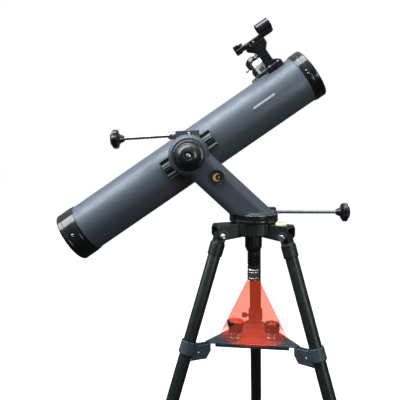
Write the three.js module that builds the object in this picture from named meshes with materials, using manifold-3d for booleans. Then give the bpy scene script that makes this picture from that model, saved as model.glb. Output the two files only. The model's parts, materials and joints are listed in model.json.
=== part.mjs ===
// Reflector telescope on a one-arm alt-azimuth mount and a folding tripod.
// Units are millimetres, +Z is up. The origin lies on the floor, under the middle of the whole object.
// The tube points up and to +X; the mount arm and its lock knob are on the -Y side of the tube.
import * as THREE from 'three';
import { mergeVertices } from 'three/addons/utils/BufferGeometryUtils.js';
import Module from 'manifold-3d';

const wasm = await Module();
wasm.setup();

// ---------- Driving dimensions ----------
const GAP = 0.3; // between pieces that are fixed to each other
const RUN = 0.5; // round anything that turns or slides
const SLIT = 0.6; // between flat faces that turn past each other

// Tripod legs, measured down the leg from its hub pivot
const LEG_ANGLE = 17.74; // degrees from vertical when open
const TRIPOD_YAW = -7; // degrees the tripod is turned under the mount
const LEG_AZIMUTHS = [90, 210, 330];
const PIVOT_RADIUS = 82;
const LEG_RADIUS = 13.9;
const LEG_WALL = 1.6;
const LEG_LENGTH = 600;
const SLEEVE_WALL = 2.5;
const SLEEVE_TOP = 14;
const SLEEVE_END = 44;
const COLLAR_DROP = 5.47; // middle of the collar below the tray's top, along the leg
const COLLAR_HEIGHT = 27;
const COLLAR_WALL = 3.7;
const LOCK_HEIGHT = 46;
const LOCK_WALL = 4.1;
const LOCK_LIP = 20; // how far the lock reaches below the upper tube
const LOWER_WALL = 1.4;
const LOWER_OUT = 112; // lower tube below the upper tube, as it stands
const LOWER_HIDDEN = 470;
const FOOT_LENGTH = 38;
const FOOT_WALL = 3.7;
const FOOT_SOLE = 18; // end of the lower tube to the floor, along the leg

// Tripod hub
const HUB_RADIUS = 50;
const HUB_BOTTOM = -2;
const HUB_TOP = 27;
const EAR_END = 13; // of the bracket beyond its pivot
const EAR_WIDTH = 35;
const EAR_BOTTOM = -8;
const LUG_WIDTH = 22;
const PIVOT_PIN_RADIUS = 4;
const VIAL_RADIUS = 12.5;
const VIAL_HEIGHT = 4;
const VIAL_INSET = 12; // of the vial from the pivot
const VIAL_SEAT = 3; // how deep the vial is let into the top of its bracket
const LEVEL_LEG = 2; // the leg whose bracket holds the vial, counted from 0
const BOLT_HEAD_RADIUS = 7.5;
const BOLT_HEAD_THICK = 4;

// Lamp under the hub
const LAMP_SOCKET_RADIUS = 19;
const LAMP_SOCKET_HEIGHT = 38;
const LAMP_RADIUS = 13.3;
const LAMP_BARREL_LENGTH = 38;
const LAMP_HEAD_LENGTH = 26;
const LAMP_WALL = 2;

// Accessory tray
const TRAY_RADIUS = 114;
const TRAY_TAB = 6; // half the width of a corner
const TRAY_LEVEL = -231; // top face, from the hub pivots
const TRAY_SHEET = 1.8;
const TRAY_RIM = 8;
const CHEEK_LAP = 7; // of the cheeks past the tray's corners
const CHEEK_THICK = 4;
const CHEEK_OUTER = 8; // half the width over both cheeks
const CHEEK_HEIGHT = 32;

// Eyepieces that stand on the tray
const BARREL_RADIUS = 15.8;
const BARREL_SHOWS = 14;
const EYEPIECE_SPREAD = 40.5;
const EYEPIECE_FORWARD = 18;

// Azimuth base
const BASE_RADIUS = 54;
const BASE_RING_HEIGHT = 7;
const TURNTABLE_HEIGHT = 11.7;
const ARM_PLATE = 3.2;
const BOSS_RADIUS = 14;
const AXIS_BOLT_RADIUS = 6;
const AXIS_HEAD_RADIUS = 9;
const AXIS_HEAD_THICK = 2;
const AXIS_BOLT_IN_LAMP = 20; // thread of the axis bolt inside the lamp's socket

// Worm gears
const MODULE = 1.5;
const WHEEL_FACE = 4;
const WORM_PITCH_RADIUS = 6;
const WORM_TURNS = 4;
const AZIMUTH_TEETH = 42;
const ALTITUDE_TEETH = 52;
const ADDENDUM = 1.15;
const DEDENDUM = 1.5;
const TOOTH_TIP = 0.25; // share of the pitch that a tooth takes at its tip
const TOOTH_ROOT = 0.57; // and at its root

// Control rods
const ROD_RADIUS = 3.6;
const ROD_TAIL = 22; // behind the middle of the worm
const ROD_KNOB_RADIUS = 23;
const ROD_KNOB_WIDTH = 13;
const ALTITUDE_ROD_LENGTH = 148;
const ALTITUDE_ROD_TILT = 3.6;
const AZIMUTH_ROD_LENGTH = 200;
const COUPLING_RADIUS = 8.6;
const COUPLING_LENGTH = 17;

// Arm
const ALTITUDE_X = -143.5;
const ALTITUDE_Z = 175; // above the hub pivots
const ARM_Y = -27;
const ARM_DEPTH = 46;
const ARM_WIDTH = 69;
const ARM_FOOT_X = -4;
const HEAD_WALL = 5.5; // of the arm's head outside the wheel's pitch circle
const SHAFT_RADIUS = 9;
const WHEEL_INSET = 10; // of the altitude wheel from the arm's back
const HOUSING_HALF = 26;

// Lock knob
const KNOB_RADIUS = 34;
const KNOB_DEPTH = 24;

// Optical tube, measured along it from the altitude axis
const ALTITUDE_ANGLE = 34.6;
const TUBE_CLEAR = 9; // between the arm's back and the tube
const TUBE_DROP = 4; // tube axis below the altitude axis
const TUBE_RADIUS = 57;
const TUBE_WALL = 1.6;
const TUBE_REAR = -322;
const TUBE_FRONT = 326;
const RING_WALL = 2.8;
const CELL_DEPTH = 21; // of the rear cell behind the tube
const CELL_GRIP = 23; // and round it
const RING_DEPTH = 12.5; // of the front ring ahead of the tube
const RING_GRIP = 15.5; // and round it
const MIRROR_ROOM = 1.9;
const MIRROR_THICK = 11;
const MIRROR_DISH = 2.3; // depth of the mirror's hollow face
const MOUTH_LIP = 4;
const CELL_DISH = 9; // depth of the rear cell's sunk back
const CELL_LIP = 8;
const VANE_THICK = 1.8;
const SADDLE_LENGTH = 133;
const SADDLE_HEIGHT = 48;
const SADDLE_HUG = 17; // how far the saddle reaches round the tube

// Focuser, at the secondary mirror
const FOCUS_INSET = 74; // of the focuser from the tube's mouth
const FOCUS_ROLL = -28; // degrees round the tube from its top, away from the arm
const DRAW_RADIUS = 17.6;
const DRAW_WALL = 1.7;
const DRAW_SHOWS = 61; // of the drawtube outside the tube
const DRAW_INSIDE = 11;
const FOCUS_BODY_RADIUS = 22;
const FOCUS_BODY_HEIGHT = 31;
const PINION_MODULE = 1;
const PINION_TEETH = 12;
const PINION_HEIGHT = 17; // pinion axis above the tube
const RACK_TEETH = 14;
const RACK_HALF = 4; // half the rack's width
const SECONDARY_RADIUS = 16;

// Red-dot finder
const FINDER_INSET = 52; // of the finder from the tube's mouth
const FINDER_ROLL = 12; // degrees round the tube, towards the arm
const FINDER_HEIGHT = 74; // of the finder's rail above the tube
const FINDER_RAIL_THICK = 10;
const FINDER_RAIL_REAR = -55;
const HOOD_RADIUS = 14;
const HOOD_WALL = 2;
const HOOD_SINK = 4.5; // how deep the hood is let into the rail
const HOOD_REAR = 10;
const HOOD_FRONT = 42;
const LENS_AT = 34;

// ---------- Places worked out from the sizes above ----------
const rad = THREE.MathUtils.degToRad;
const LEG_TILT = rad(LEG_ANGLE);
const SLEEVE_RADIUS = LEG_RADIUS + SLEEVE_WALL;
const COLLAR_RADIUS = LEG_RADIUS + COLLAR_WALL;
const COLLAR_AT = -TRAY_LEVEL / Math.cos(LEG_TILT) + COLLAR_DROP;
const LOCK_RADIUS = LEG_RADIUS + LOCK_WALL;
const LOWER_RADIUS = LEG_RADIUS - LEG_WALL - RUN;
const FOOT_RADIUS = LOWER_RADIUS + FOOT_WALL;
const EAR_OUTER = PIVOT_RADIUS + EAR_END;
const VIAL_AT = PIVOT_RADIUS - VIAL_INSET;
const CHEEK_INNER = TRAY_RADIUS - CHEEK_LAP;
const SOLE_AT = LEG_LENGTH + LOWER_OUT + FOOT_SOLE;
const PIVOT_Z = SOLE_AT * Math.cos(LEG_TILT);
const BASE_BOTTOM = HUB_TOP + GAP;
const BASE_TOP = BASE_BOTTOM + BASE_RING_HEIGHT;
const TABLE_BOTTOM = BASE_TOP + GAP;
const TABLE_TOP = TABLE_BOTTOM + TURNTABLE_HEIGHT;
const PLATE_BOTTOM = TABLE_TOP + GAP;
const PLATE_TOP = PLATE_BOTTOM + ARM_PLATE;
const WHEEL_LEVEL = TABLE_TOP - 4;
const CAVITY_FLOOR = WHEEL_LEVEL - WHEEL_FACE / 2 - SLIT;
const AZIMUTH_PITCH_RADIUS = MODULE * AZIMUTH_TEETH / 2;
const ALTITUDE_PITCH_RADIUS = MODULE * ALTITUDE_TEETH / 2;
const AZIMUTH_WORM_Y = AZIMUTH_PITCH_RADIUS + WORM_PITCH_RADIUS;
const ALTITUDE_WORM_R = ALTITUDE_PITCH_RADIUS + WORM_PITCH_RADIUS;
const WORM_TIP = WORM_PITCH_RADIUS + ADDENDUM;
const CHANNEL_RADIUS = WORM_TIP + RUN;
const WORM_BOX_HALF = CHANNEL_RADIUS + 3;
const WORM_ROOM = Math.PI * MODULE * WORM_TURNS / 2 + RUN;
const ARM_FRONT = ARM_Y - ARM_DEPTH / 2;
const ARM_BACK = ARM_Y + ARM_DEPTH / 2;
const HEAD_RADIUS = ALTITUDE_PITCH_RADIUS + HEAD_WALL;
const ALTITUDE_WHEEL_Y = ARM_BACK - WHEEL_INSET;
const TUBE_Y = ARM_BACK + TUBE_CLEAR + TUBE_RADIUS;
const RING_RADIUS = TUBE_RADIUS + RING_WALL;
const CELL_REAR = TUBE_REAR - CELL_DEPTH;
const CELL_FRONT = TUBE_REAR + CELL_GRIP;
const CELL_RIM = TUBE_RADIUS - CELL_LIP;
const RING_REAR = TUBE_FRONT - RING_GRIP;
const RING_FRONT = TUBE_FRONT + RING_DEPTH;
const MOUTH_RADIUS = TUBE_RADIUS - MOUTH_LIP;
const MIRROR_RADIUS = TUBE_RADIUS - TUBE_WALL - MIRROR_ROOM;
const FOCUS_AT = TUBE_FRONT - FOCUS_INSET;
const DRAW_TOP = TUBE_RADIUS + DRAW_SHOWS;
const FOCUS_BODY_TOP = TUBE_RADIUS + FOCUS_BODY_HEIGHT;
const PINION_Z = TUBE_RADIUS + PINION_HEIGHT;
const PINION_RADIUS = PINION_MODULE * PINION_TEETH / 2;
const RACK_LINE = DRAW_RADIUS + 2.2;
const PINION_Y = RACK_LINE + PINION_RADIUS;
const PINION_ROOM = PINION_RADIUS + 1.4;
const FINDER_AT = TUBE_FRONT - FINDER_INSET;
const FINDER_RAIL_LOW = TUBE_RADIUS + FINDER_HEIGHT;
const FINDER_RAIL_HIGH = FINDER_RAIL_LOW + FINDER_RAIL_THICK;
const HOOD_CENTRE = FINDER_RAIL_HIGH - HOOD_SINK + HOOD_RADIUS;
const LAMP_TOP = HUB_BOTTOM - GAP;
const BARREL_TOP = LAMP_TOP - LAMP_SOCKET_HEIGHT - GAP;
const LAMP_HEAD_TOP = BARREL_TOP - LAMP_BARREL_LENGTH - SLIT;

// Sides of the round pieces.
const LARGE = 36;
const MEDIUM = 20;
const SMALL = 12;

// ---------- Solids ----------
const toSolid = (geometry) => {
  const bare = geometry.index ? geometry.clone() : geometry;
  bare.deleteAttribute('normal');
  bare.deleteAttribute('uv');
  const merged = mergeVertices(bare, 1e-4);
  const place = merged.attributes.position.array;
  const corners = [];
  let volume = 0;
  const vertex = (i) => new THREE.Vector3().fromArray(place, 3 * i);
  for (let i = 0; i < merged.index.count; i += 3) {
    const [a, b, c] = [0, 1, 2].map((k) => merged.index.getX(i + k));
    if (a === b || b === c || c === a) continue;
    corners.push(a, b, c);
    volume += vertex(a).dot(vertex(b).cross(vertex(c)));
  }
  if (volume < 0) {
    for (let i = 0; i < corners.length; i += 3) {
      [corners[i + 1], corners[i + 2]] = [corners[i + 2], corners[i + 1]];
    }
  }
  return new wasm.Manifold(new wasm.Mesh({
    numProp: 3,
    vertProperties: Float32Array.from(place),
    triVerts: Uint32Array.from(corners),
  }));
};
const solid = (shape) => (shape.isBufferGeometry ? toSolid(shape) : shape);
const join = (first, ...others) => others.reduce((sum, other) => sum.add(solid(other)), solid(first));
const cut = (first, ...others) => others.reduce((rest, other) => rest.subtract(solid(other)), solid(first));
const common = (first, second) => solid(first).intersect(solid(second));

const toGeometry = (shape) => {
  if (shape.isBufferGeometry) return toGeometry(toSolid(shape));
  const { vertProperties, triVerts, numProp } = shape.getMesh();
  const place = new Float32Array(vertProperties.length / numProp * 3);
  for (let i = 0; i < place.length / 3; i += 1) {
    place.set(vertProperties.subarray(i * numProp, i * numProp + 3), i * 3);
  }
  const geometry = new THREE.BufferGeometry();
  geometry.setAttribute('position', new THREE.BufferAttribute(place, 3));
  geometry.setIndex(new THREE.BufferAttribute(triVerts, 1));
  geometry.computeVertexNormals();
  return geometry;
};

const box = (x0, x1, y0, y1, z0, z1) => new THREE.BoxGeometry(x1 - x0, y1 - y0, z1 - z0)
  .translate((x0 + x1) / 2, (y0 + y1) / 2, (z0 + z1) / 2);
const points = (list) => list.map(([x, y]) => new THREE.Vector2(x, y));

// Turned shapes: profile points are [radius, height], and the axis is Z, X or Y.
const turnedY = (profile, sides = MEDIUM) => new THREE.LatheGeometry(points(profile), sides);
const turnedZ = (profile, sides = MEDIUM) => turnedY(profile, sides).rotateX(Math.PI / 2);
const turnedX = (profile, sides = MEDIUM) => turnedZ(profile, sides).rotateY(Math.PI / 2);
const rodProfile = (radius, low, high) => [[0, low], [radius, low], [radius, high], [0, high]];
const ringProfile = (inner, outer, low, high) => [
  [inner, low], [outer, low], [outer, high], [inner, high], [inner, low],
];
const rodZ = (radius, low, high, sides) => turnedZ(rodProfile(radius, low, high), sides);
const rodX = (radius, low, high, sides) => turnedX(rodProfile(radius, low, high), sides);
const rodY = (radius, low, high, sides) => turnedY(rodProfile(radius, low, high), sides);
const ringZ = (inner, outer, low, high, sides) => turnedZ(ringProfile(inner, outer, low, high), sides);
const ringX = (inner, outer, low, high, sides) => turnedX(ringProfile(inner, outer, low, high), sides);

// A flat outline in X-Z, given depth along Y.
const plateY = (outline, y0, y1) => new THREE.ExtrudeGeometry(new THREE.Shape(points(outline)), {
  depth: y1 - y0, bevelEnabled: false,
}).rotateX(Math.PI / 2).translate(0, y1, 0);
// A flat outline in X-Y, given height along Z.
const plateZ = (outline, z0, z1) => new THREE.ExtrudeGeometry(new THREE.Shape(points(outline)), {
  depth: z1 - z0, bevelEnabled: false,
}).translate(0, 0, z0);

const roundedOutline = (halfX, halfY, radius, steps = 4) => {
  const outline = [];
  const centres = [[1, 1, 0], [-1, 1, 90], [-1, -1, 180], [1, -1, 270]];
  for (const [sx, sy, start] of centres) {
    for (let i = 0; i <= steps; i += 1) {
      const angle = rad(start + 90 * i / steps);
      outline.push([
        sx * (halfX - radius) + radius * Math.cos(angle),
        sy * (halfY - radius) + radius * Math.sin(angle),
      ]);
    }
  }
  return outline;
};

// ---------- Gears ----------
const wheelOutline = (teeth, module) => {
  const pitchRadius = module * teeth / 2;
  const scale = module / MODULE;
  const outline = [];
  for (let i = 0; i < teeth; i += 1) {
    const corners = [
      [-TOOTH_ROOT, -DEDENDUM], [-TOOTH_TIP, ADDENDUM], [TOOTH_TIP, ADDENDUM], [TOOTH_ROOT, -DEDENDUM],
    ];
    for (const [share, rise] of corners) {
      const angle = (i + share / 2) * 2 * Math.PI / teeth;
      const radius = pitchRadius + rise * scale;
      outline.push([radius * Math.cos(angle), radius * Math.sin(angle)]);
    }
  }
  return outline;
};

// A worm's thread along X: a fine cylinder whose radius follows the turning thread.
// On the side that faces the wheel, facing turns from +Y towards +Z, a thread stands at the middle.
const wormThread = (facing) => {
  const pitch = Math.PI * MODULE;
  const length = WORM_TURNS * pitch;
  const worm = new THREE.CylinderGeometry(1, 1, length, 12, WORM_TURNS * 8).rotateZ(-Math.PI / 2);
  const place = worm.attributes.position;
  for (let i = 0; i < place.count; i += 1) {
    const x = place.getX(i);
    const y = place.getY(i);
    const z = place.getZ(i);
    const span = Math.hypot(y, z);
    if (span < 0.5) continue;
    const turn = Math.atan2(z, y) / (2 * Math.PI);
    const along = x / pitch - turn + facing;
    const share = 2 * Math.abs(along - Math.round(along));
    const rise = THREE.MathUtils.clamp((TOOTH_ROOT - share) / (TOOTH_ROOT - TOOTH_TIP), 0, 1);
    const radius = WORM_PITCH_RADIUS - DEDENDUM + rise * (ADDENDUM + DEDENDUM);
    place.setXYZ(i, x, y / span * radius, z / span * radius);
  }
  return worm;
};

// ---------- Materials ----------
const finish = (color, roughness, metalness) => new THREE.MeshStandardMaterial({
  color,
  roughness,
  metalness,
});
const finishes = {
  gunmetal: finish(0x56606e, 0.45, 0.5),
  glossBlack: finish(0x101214, 0.15, 0.0),
  satinBlack: finish(0x1f2625, 0.4, 0.1),
  slate: finish(0x39434d, 0.5, 0.4),
  steel: finish(0xb4b8bb, 0.25, 1.0),
  brass: finish(0xb08d4c, 0.35, 1.0),
  chrome: finish(0xd8dadc, 0.08, 1.0),
  rubber: finish(0x1a1a1a, 0.85, 0.0),
  glass: finish(0x9fb8c8, 0.05, 0.0),
  mirror: finish(0xe8ecee, 0.03, 1.0),
  vial: finish(0xd9e29a, 0.1, 0.0),
  redLens: finish(0xc62a18, 0.2, 0.0),
};
const piece = (name, shape, look) => {
  const mesh = new THREE.Mesh(toGeometry(shape), finishes[look]);
  mesh.name = name;
  return mesh;
};

// ---------- Tripod hub ----------
function legBracket() {
  const outline = [
    [HUB_RADIUS - 14, EAR_BOTTOM + 4], [PIVOT_RADIUS - 6, EAR_BOTTOM], [PIVOT_RADIUS + 6, EAR_BOTTOM],
    [EAR_OUTER, 2], [EAR_OUTER, HUB_TOP - 8], [EAR_OUTER - 4, HUB_TOP - 1], [HUB_RADIUS - 14, HUB_TOP - 1],
  ];
  const slotHalf = LUG_WIDTH / 2 + SLIT;
  const slot = box(HUB_RADIUS + 6, EAR_OUTER + 10, -slotHalf, slotHalf, EAR_BOTTOM - 10, HUB_TOP - 8);
  const pinHole = rodY(PIVOT_PIN_RADIUS + GAP, -EAR_WIDTH, EAR_WIDTH, SMALL).translate(PIVOT_RADIUS, 0, 0);
  return cut(plateY(outline, -EAR_WIDTH / 2, EAR_WIDTH / 2), slot, pinHole);
}

function tripodHub() {
  let hub = solid(turnedZ([
    [0, HUB_BOTTOM], [HUB_RADIUS - 3, HUB_BOTTOM], [HUB_RADIUS, HUB_BOTTOM + 3],
    [HUB_RADIUS, HUB_TOP], [0, HUB_TOP],
  ], LARGE));
  for (const angle of LEG_AZIMUTHS) hub = join(hub, legBracket().rotate([0, 0, angle]));
  const vialSeat = rodZ(VIAL_RADIUS + GAP, HUB_TOP - VIAL_SEAT, HUB_TOP + 5, MEDIUM)
    .translate(VIAL_AT, 0, 0).rotateZ(rad(LEG_AZIMUTHS[LEVEL_LEG]));
  return cut(hub, rodZ(AXIS_BOLT_RADIUS + GAP, HUB_BOTTOM - 5, HUB_TOP + 5, MEDIUM), vialSeat);
}

function bubbleLevel() {
  const low = HUB_TOP - VIAL_SEAT + GAP;
  const high = low + VIAL_HEIGHT;
  return turnedZ([
    [0, low], [VIAL_RADIUS, low], [VIAL_RADIUS, high], [VIAL_RADIUS - 3, high + 1], [0, high + 1.6],
  ], MEDIUM).translate(VIAL_AT, 0, 0).rotateZ(rad(LEG_AZIMUTHS[LEVEL_LEG]));
}

function pivotBolt() {
  const half = EAR_WIDTH / 2 + GAP;
  return join(
    rodY(PIVOT_PIN_RADIUS, -half - 1, half + 1, SMALL),
    rodY(BOLT_HEAD_RADIUS, half, half + BOLT_HEAD_THICK, SMALL),
    rodY(BOLT_HEAD_RADIUS, -half - BOLT_HEAD_THICK, -half, 6),
  );
}

// ---------- Lamp ----------
function lampSocket() {
  const bottom = LAMP_TOP - LAMP_SOCKET_HEIGHT;
  const body = turnedZ([
    [0, bottom], [LAMP_RADIUS + 1, bottom], [LAMP_SOCKET_RADIUS, bottom + 9],
    [LAMP_SOCKET_RADIUS, LAMP_TOP - 3], [LAMP_SOCKET_RADIUS - 2, LAMP_TOP], [0, LAMP_TOP],
  ], MEDIUM);
  return cut(body, rodZ(AXIS_BOLT_RADIUS + GAP, LAMP_TOP - AXIS_BOLT_IN_LAMP - 2, LAMP_TOP + 5, MEDIUM));
}

function lampBarrel() {
  const bottom = BARREL_TOP - LAMP_BARREL_LENGTH;
  const body = turnedZ([
    [0, bottom], [LAMP_RADIUS, bottom], [LAMP_RADIUS, bottom + 4], [LAMP_RADIUS - 1, bottom + 5],
    [LAMP_RADIUS - 1, bottom + 8], [LAMP_RADIUS, bottom + 9], [LAMP_RADIUS, BARREL_TOP - 2],
    [LAMP_RADIUS - 2, BARREL_TOP], [0, BARREL_TOP],
  ], MEDIUM);
  return cut(body, rodZ(LAMP_RADIUS - LAMP_WALL, bottom - 5, BARREL_TOP - 3, MEDIUM));
}

function lampHead() {
  const bottom = LAMP_HEAD_TOP - LAMP_HEAD_LENGTH;
  const body = turnedZ([
    [0, bottom], [LAMP_RADIUS, bottom], [LAMP_RADIUS, LAMP_HEAD_TOP - 3],
    [LAMP_RADIUS - 2, LAMP_HEAD_TOP], [0, LAMP_HEAD_TOP],
  ], MEDIUM);
  return cut(body, rodZ(LAMP_RADIUS - LAMP_WALL, bottom - 5, bottom + 12, MEDIUM));
}

function lampLens() {
  const bottom = LAMP_HEAD_TOP - LAMP_HEAD_LENGTH;
  return turnedZ([
    [0, bottom + 2], [LAMP_RADIUS - LAMP_WALL - GAP, bottom + 5],
    [LAMP_RADIUS - LAMP_WALL - GAP, bottom + 8], [0, bottom + 8],
  ], MEDIUM);
}

// ---------- Tripod legs ----------
// Leg pieces are drawn with the pivot at the origin and the leg along -Z; +X is outwards.
function legTop() {
  const half = LUG_WIDTH / 2;
  const lug = rodY(11, -half, half, MEDIUM);
  const neck = box(-10.5, 10.5, -half, half, -SLEEVE_TOP - 2, 0);
  const sleeve = turnedZ([
    [0, -SLEEVE_END], [SLEEVE_RADIUS, -SLEEVE_END], [SLEEVE_RADIUS, -SLEEVE_TOP - 3],
    [SLEEVE_RADIUS - 3, -SLEEVE_TOP], [0, -SLEEVE_TOP],
  ], MEDIUM);
  return cut(
    join(lug, neck, sleeve),
    rodY(PIVOT_PIN_RADIUS + RUN, -EAR_WIDTH, EAR_WIDTH, SMALL),
    rodZ(LEG_RADIUS + GAP, -SLEEVE_END - 5, -SLEEVE_TOP - 6, MEDIUM),
  );
}

function legTube() {
  return ringZ(LEG_RADIUS - LEG_WALL, LEG_RADIUS, -LEG_LENGTH, -SLEEVE_TOP - 6 - GAP, MEDIUM);
}

// Turns a shape drawn in the tripod's upright frame into the leaning leg's own frame.
const intoLeg = (geometry) => geometry.translate(-PIVOT_RADIUS, 0, 0).rotateY(LEG_TILT);

function trayCollar() {
  const ring = rodZ(COLLAR_RADIUS, -COLLAR_AT - COLLAR_HEIGHT / 2, -COLLAR_AT + COLLAR_HEIGHT / 2, MEDIUM);
  const legX = PIVOT_RADIUS + Math.tan(LEG_TILT) * -TRAY_LEVEL;
  const top = TRAY_LEVEL - TRAY_SHEET - GAP;
  const outline = [
    [CHEEK_INNER, top], [CHEEK_INNER, top - CHEEK_HEIGHT / 2], [CHEEK_INNER + 10, top - CHEEK_HEIGHT],
    [legX, top - CHEEK_HEIGHT], [legX, top],
  ];
  const inner = CHEEK_OUTER - CHEEK_THICK;
  const sides = [[-CHEEK_OUTER, -inner], [inner, CHEEK_OUTER]];
  const cheeks = sides.map(([y0, y1]) => intoLeg(plateY(outline, y0, y1)));
  const reach = COLLAR_HEIGHT + CHEEK_HEIGHT;
  const bore = rodZ(LEG_RADIUS + GAP, -COLLAR_AT - reach, -COLLAR_AT + reach, MEDIUM);
  return cut(join(ring, ...cheeks), bore);
}

function legLock() {
  const top = -LEG_LENGTH - LOCK_LIP + LOCK_HEIGHT;
  const bottom = -LEG_LENGTH - LOCK_LIP;
  const sleeve = turnedZ([
    [0, bottom], [LOCK_RADIUS - 3, bottom], [LOCK_RADIUS, bottom + 4], [LOCK_RADIUS, top - 3],
    [LOCK_RADIUS - 2, top], [0, top],
  ], MEDIUM);
  const boss = rodX(8, 0, LOCK_RADIUS + 5, SMALL).translate(0, 0, bottom + 10);
  return cut(
    join(sleeve, boss),
    rodZ(LEG_RADIUS + GAP, -LEG_LENGTH - GAP, top + 5, MEDIUM),
    rodZ(LOWER_RADIUS + RUN, bottom - 5, top, MEDIUM),
    rodX(3 + RUN, 0, LOCK_RADIUS + 10, SMALL).translate(0, 0, bottom + 10),
  );
}

function lockKnob() {
  const start = LOCK_RADIUS + 5 + SLIT;
  const knob = turnedX([
    [0, LOWER_RADIUS + 1.2], [3, LOWER_RADIUS + 1.2], [3, start], [9, start], [11.5, start + 4],
    [11.5, start + 13], [8, start + 16], [0, start + 16],
  ], SMALL);
  return knob.translate(0, 0, -LEG_LENGTH - LOCK_LIP + 10);
}

function lowerTube() {
  return ringZ(
    LOWER_RADIUS - LOWER_WALL, LOWER_RADIUS, -LEG_LENGTH - LOWER_OUT, -LEG_LENGTH + LOWER_HIDDEN, MEDIUM);
}

function foot() {
  const end = -LEG_LENGTH - LOWER_OUT;
  const bottom = -SOLE_AT - 6;
  const body = turnedZ([
    [0, bottom], [FOOT_RADIUS - 4, bottom], [FOOT_RADIUS, bottom + 8], [FOOT_RADIUS, end - 6],
    [FOOT_RADIUS - 2, end + FOOT_LENGTH - FOOT_SOLE], [0, end + FOOT_LENGTH - FOOT_SOLE],
  ], MEDIUM);
  const reach = 60;
  const floor = box(-reach, reach, -reach, reach, -SOLE_AT - reach, -SOLE_AT)
    .translate(0, 0, SOLE_AT).rotateY(LEG_TILT).translate(0, 0, -SOLE_AT);
  return cut(body, rodZ(LOWER_RADIUS + GAP, end - GAP, end + FOOT_LENGTH, MEDIUM), floor);
}

// ---------- Tray and eyepieces ----------
const trayOutline = (inset) => {
  const outline = [];
  for (const azimuth of LEG_AZIMUTHS) {
    for (const side of [-1, 1]) {
      const tip = new THREE.Vector2(TRAY_RADIUS - inset, side * (TRAY_TAB - inset * Math.tan(rad(30))));
      tip.rotateAround(new THREE.Vector2(), rad(azimuth));
      outline.push([tip.x, tip.y]);
    }
  }
  return outline;
};

function tray() {
  let plate = cut(
    plateZ(trayOutline(0), TRAY_LEVEL - TRAY_RIM, TRAY_LEVEL),
    plateZ(trayOutline(TRAY_SHEET), TRAY_LEVEL - TRAY_RIM - 5, TRAY_LEVEL - TRAY_SHEET),
  );
  for (const azimuth of LEG_AZIMUTHS) {
    const mouth = box(CHEEK_INNER - 8, TRAY_RADIUS + 5, -CHEEK_INNER / 4, CHEEK_INNER / 4,
      TRAY_LEVEL - TRAY_RIM - 5, TRAY_LEVEL - TRAY_SHEET - GAP / 2).rotateZ(rad(azimuth));
    const hole = rodZ(2.6, TRAY_LEVEL - 10, TRAY_LEVEL + 5, SMALL)
      .translate(TRAY_RADIUS - 18, 0, 0).rotateZ(rad(azimuth));
    plate = cut(plate, mouth, hole);
  }
  return plate;
}

const eyepieceBarrel = () => ringZ(BARREL_RADIUS - 1.2, BARREL_RADIUS, GAP, BARREL_SHOWS + GAP, MEDIUM);

// Each eyepiece body holds its lenses and has a dished eye end.
const eyepieceBody = (outer, height) => turnedZ([
  [0, BARREL_SHOWS + 2 * GAP], [BARREL_RADIUS, BARREL_SHOWS + 2 * GAP], ...outer, [13, height],
  [8, height - 4], [0, height - 5],
], MEDIUM);
const flaredBody = () => eyepieceBody([[15, BARREL_SHOWS + 4], [18.9, 34], [18.9, 38]], 38);
const steppedBody = () => eyepieceBody([
  [16.9, BARREL_SHOWS + 3], [16.9, 22], [16, 23], [16, 26], [16.9, 27], [16.9, 31], [15.4, 33.5],
], 33.5);

// ---------- Azimuth base ----------
function baseRing() {
  const body = turnedZ([
    [0, BASE_BOTTOM], [BASE_RADIUS - 2, BASE_BOTTOM], [BASE_RADIUS, BASE_BOTTOM + 2],
    [BASE_RADIUS, BASE_TOP], [BOSS_RADIUS, BASE_TOP],
    [BOSS_RADIUS, WHEEL_LEVEL - WHEEL_FACE / 2 - GAP],
    [0, WHEEL_LEVEL - WHEEL_FACE / 2 - GAP],
  ], LARGE);
  return cut(body, rodZ(AXIS_BOLT_RADIUS + GAP, BASE_BOTTOM - 5, TABLE_TOP, MEDIUM));
}

// A wheel is turned until one of its gaps lies at the angle, in degrees, where its worm is.
const gapTurn = (teeth, angle) => rad((angle / (360 / teeth) + 0.5) % 1 * 360 / teeth);

function azimuthWheel() {
  const low = WHEEL_LEVEL - WHEEL_FACE / 2;
  const high = low + WHEEL_FACE;
  return cut(
    plateZ(wheelOutline(AZIMUTH_TEETH, MODULE), low, high).rotateZ(gapTurn(AZIMUTH_TEETH, 90)),
    rodZ(AXIS_BOLT_RADIUS + GAP, low - 5, high + 5, MEDIUM),
    rodZ(AXIS_HEAD_RADIUS + GAP, high - AXIS_HEAD_THICK - GAP, high + 5, MEDIUM),
  );
}

function azimuthBolt() {
  const high = WHEEL_LEVEL + WHEEL_FACE / 2;
  return join(
    rodZ(AXIS_BOLT_RADIUS, LAMP_TOP - AXIS_BOLT_IN_LAMP, high, MEDIUM),
    rodZ(AXIS_HEAD_RADIUS, high - AXIS_HEAD_THICK, high, MEDIUM),
  );
}

function turntable() {
  const disc = turnedZ([
    [0, TABLE_BOTTOM], [BASE_RADIUS, TABLE_BOTTOM], [BASE_RADIUS, TABLE_TOP], [0, TABLE_TOP],
  ], LARGE);
  const housing = box(-30, BASE_RADIUS, AZIMUTH_WORM_Y - WORM_BOX_HALF, AZIMUTH_WORM_Y + WORM_BOX_HALF,
    TABLE_BOTTOM, WHEEL_LEVEL + WORM_BOX_HALF);
  const worm = (shape) => shape.translate(0, AZIMUTH_WORM_Y, WHEEL_LEVEL);
  return cut(
    join(disc, housing),
    rodZ(AZIMUTH_PITCH_RADIUS + ADDENDUM + RUN, CAVITY_FLOOR, TABLE_TOP + 5, LARGE),
    rodZ(BOSS_RADIUS + RUN, TABLE_BOTTOM - 5, TABLE_TOP, MEDIUM),
    worm(rodX(CHANNEL_RADIUS, -WORM_ROOM, WORM_ROOM, SMALL)),
    worm(rodX(ROD_RADIUS + RUN, -ROD_TAIL - RUN, BASE_RADIUS + 5, SMALL)),
  );
}

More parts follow.
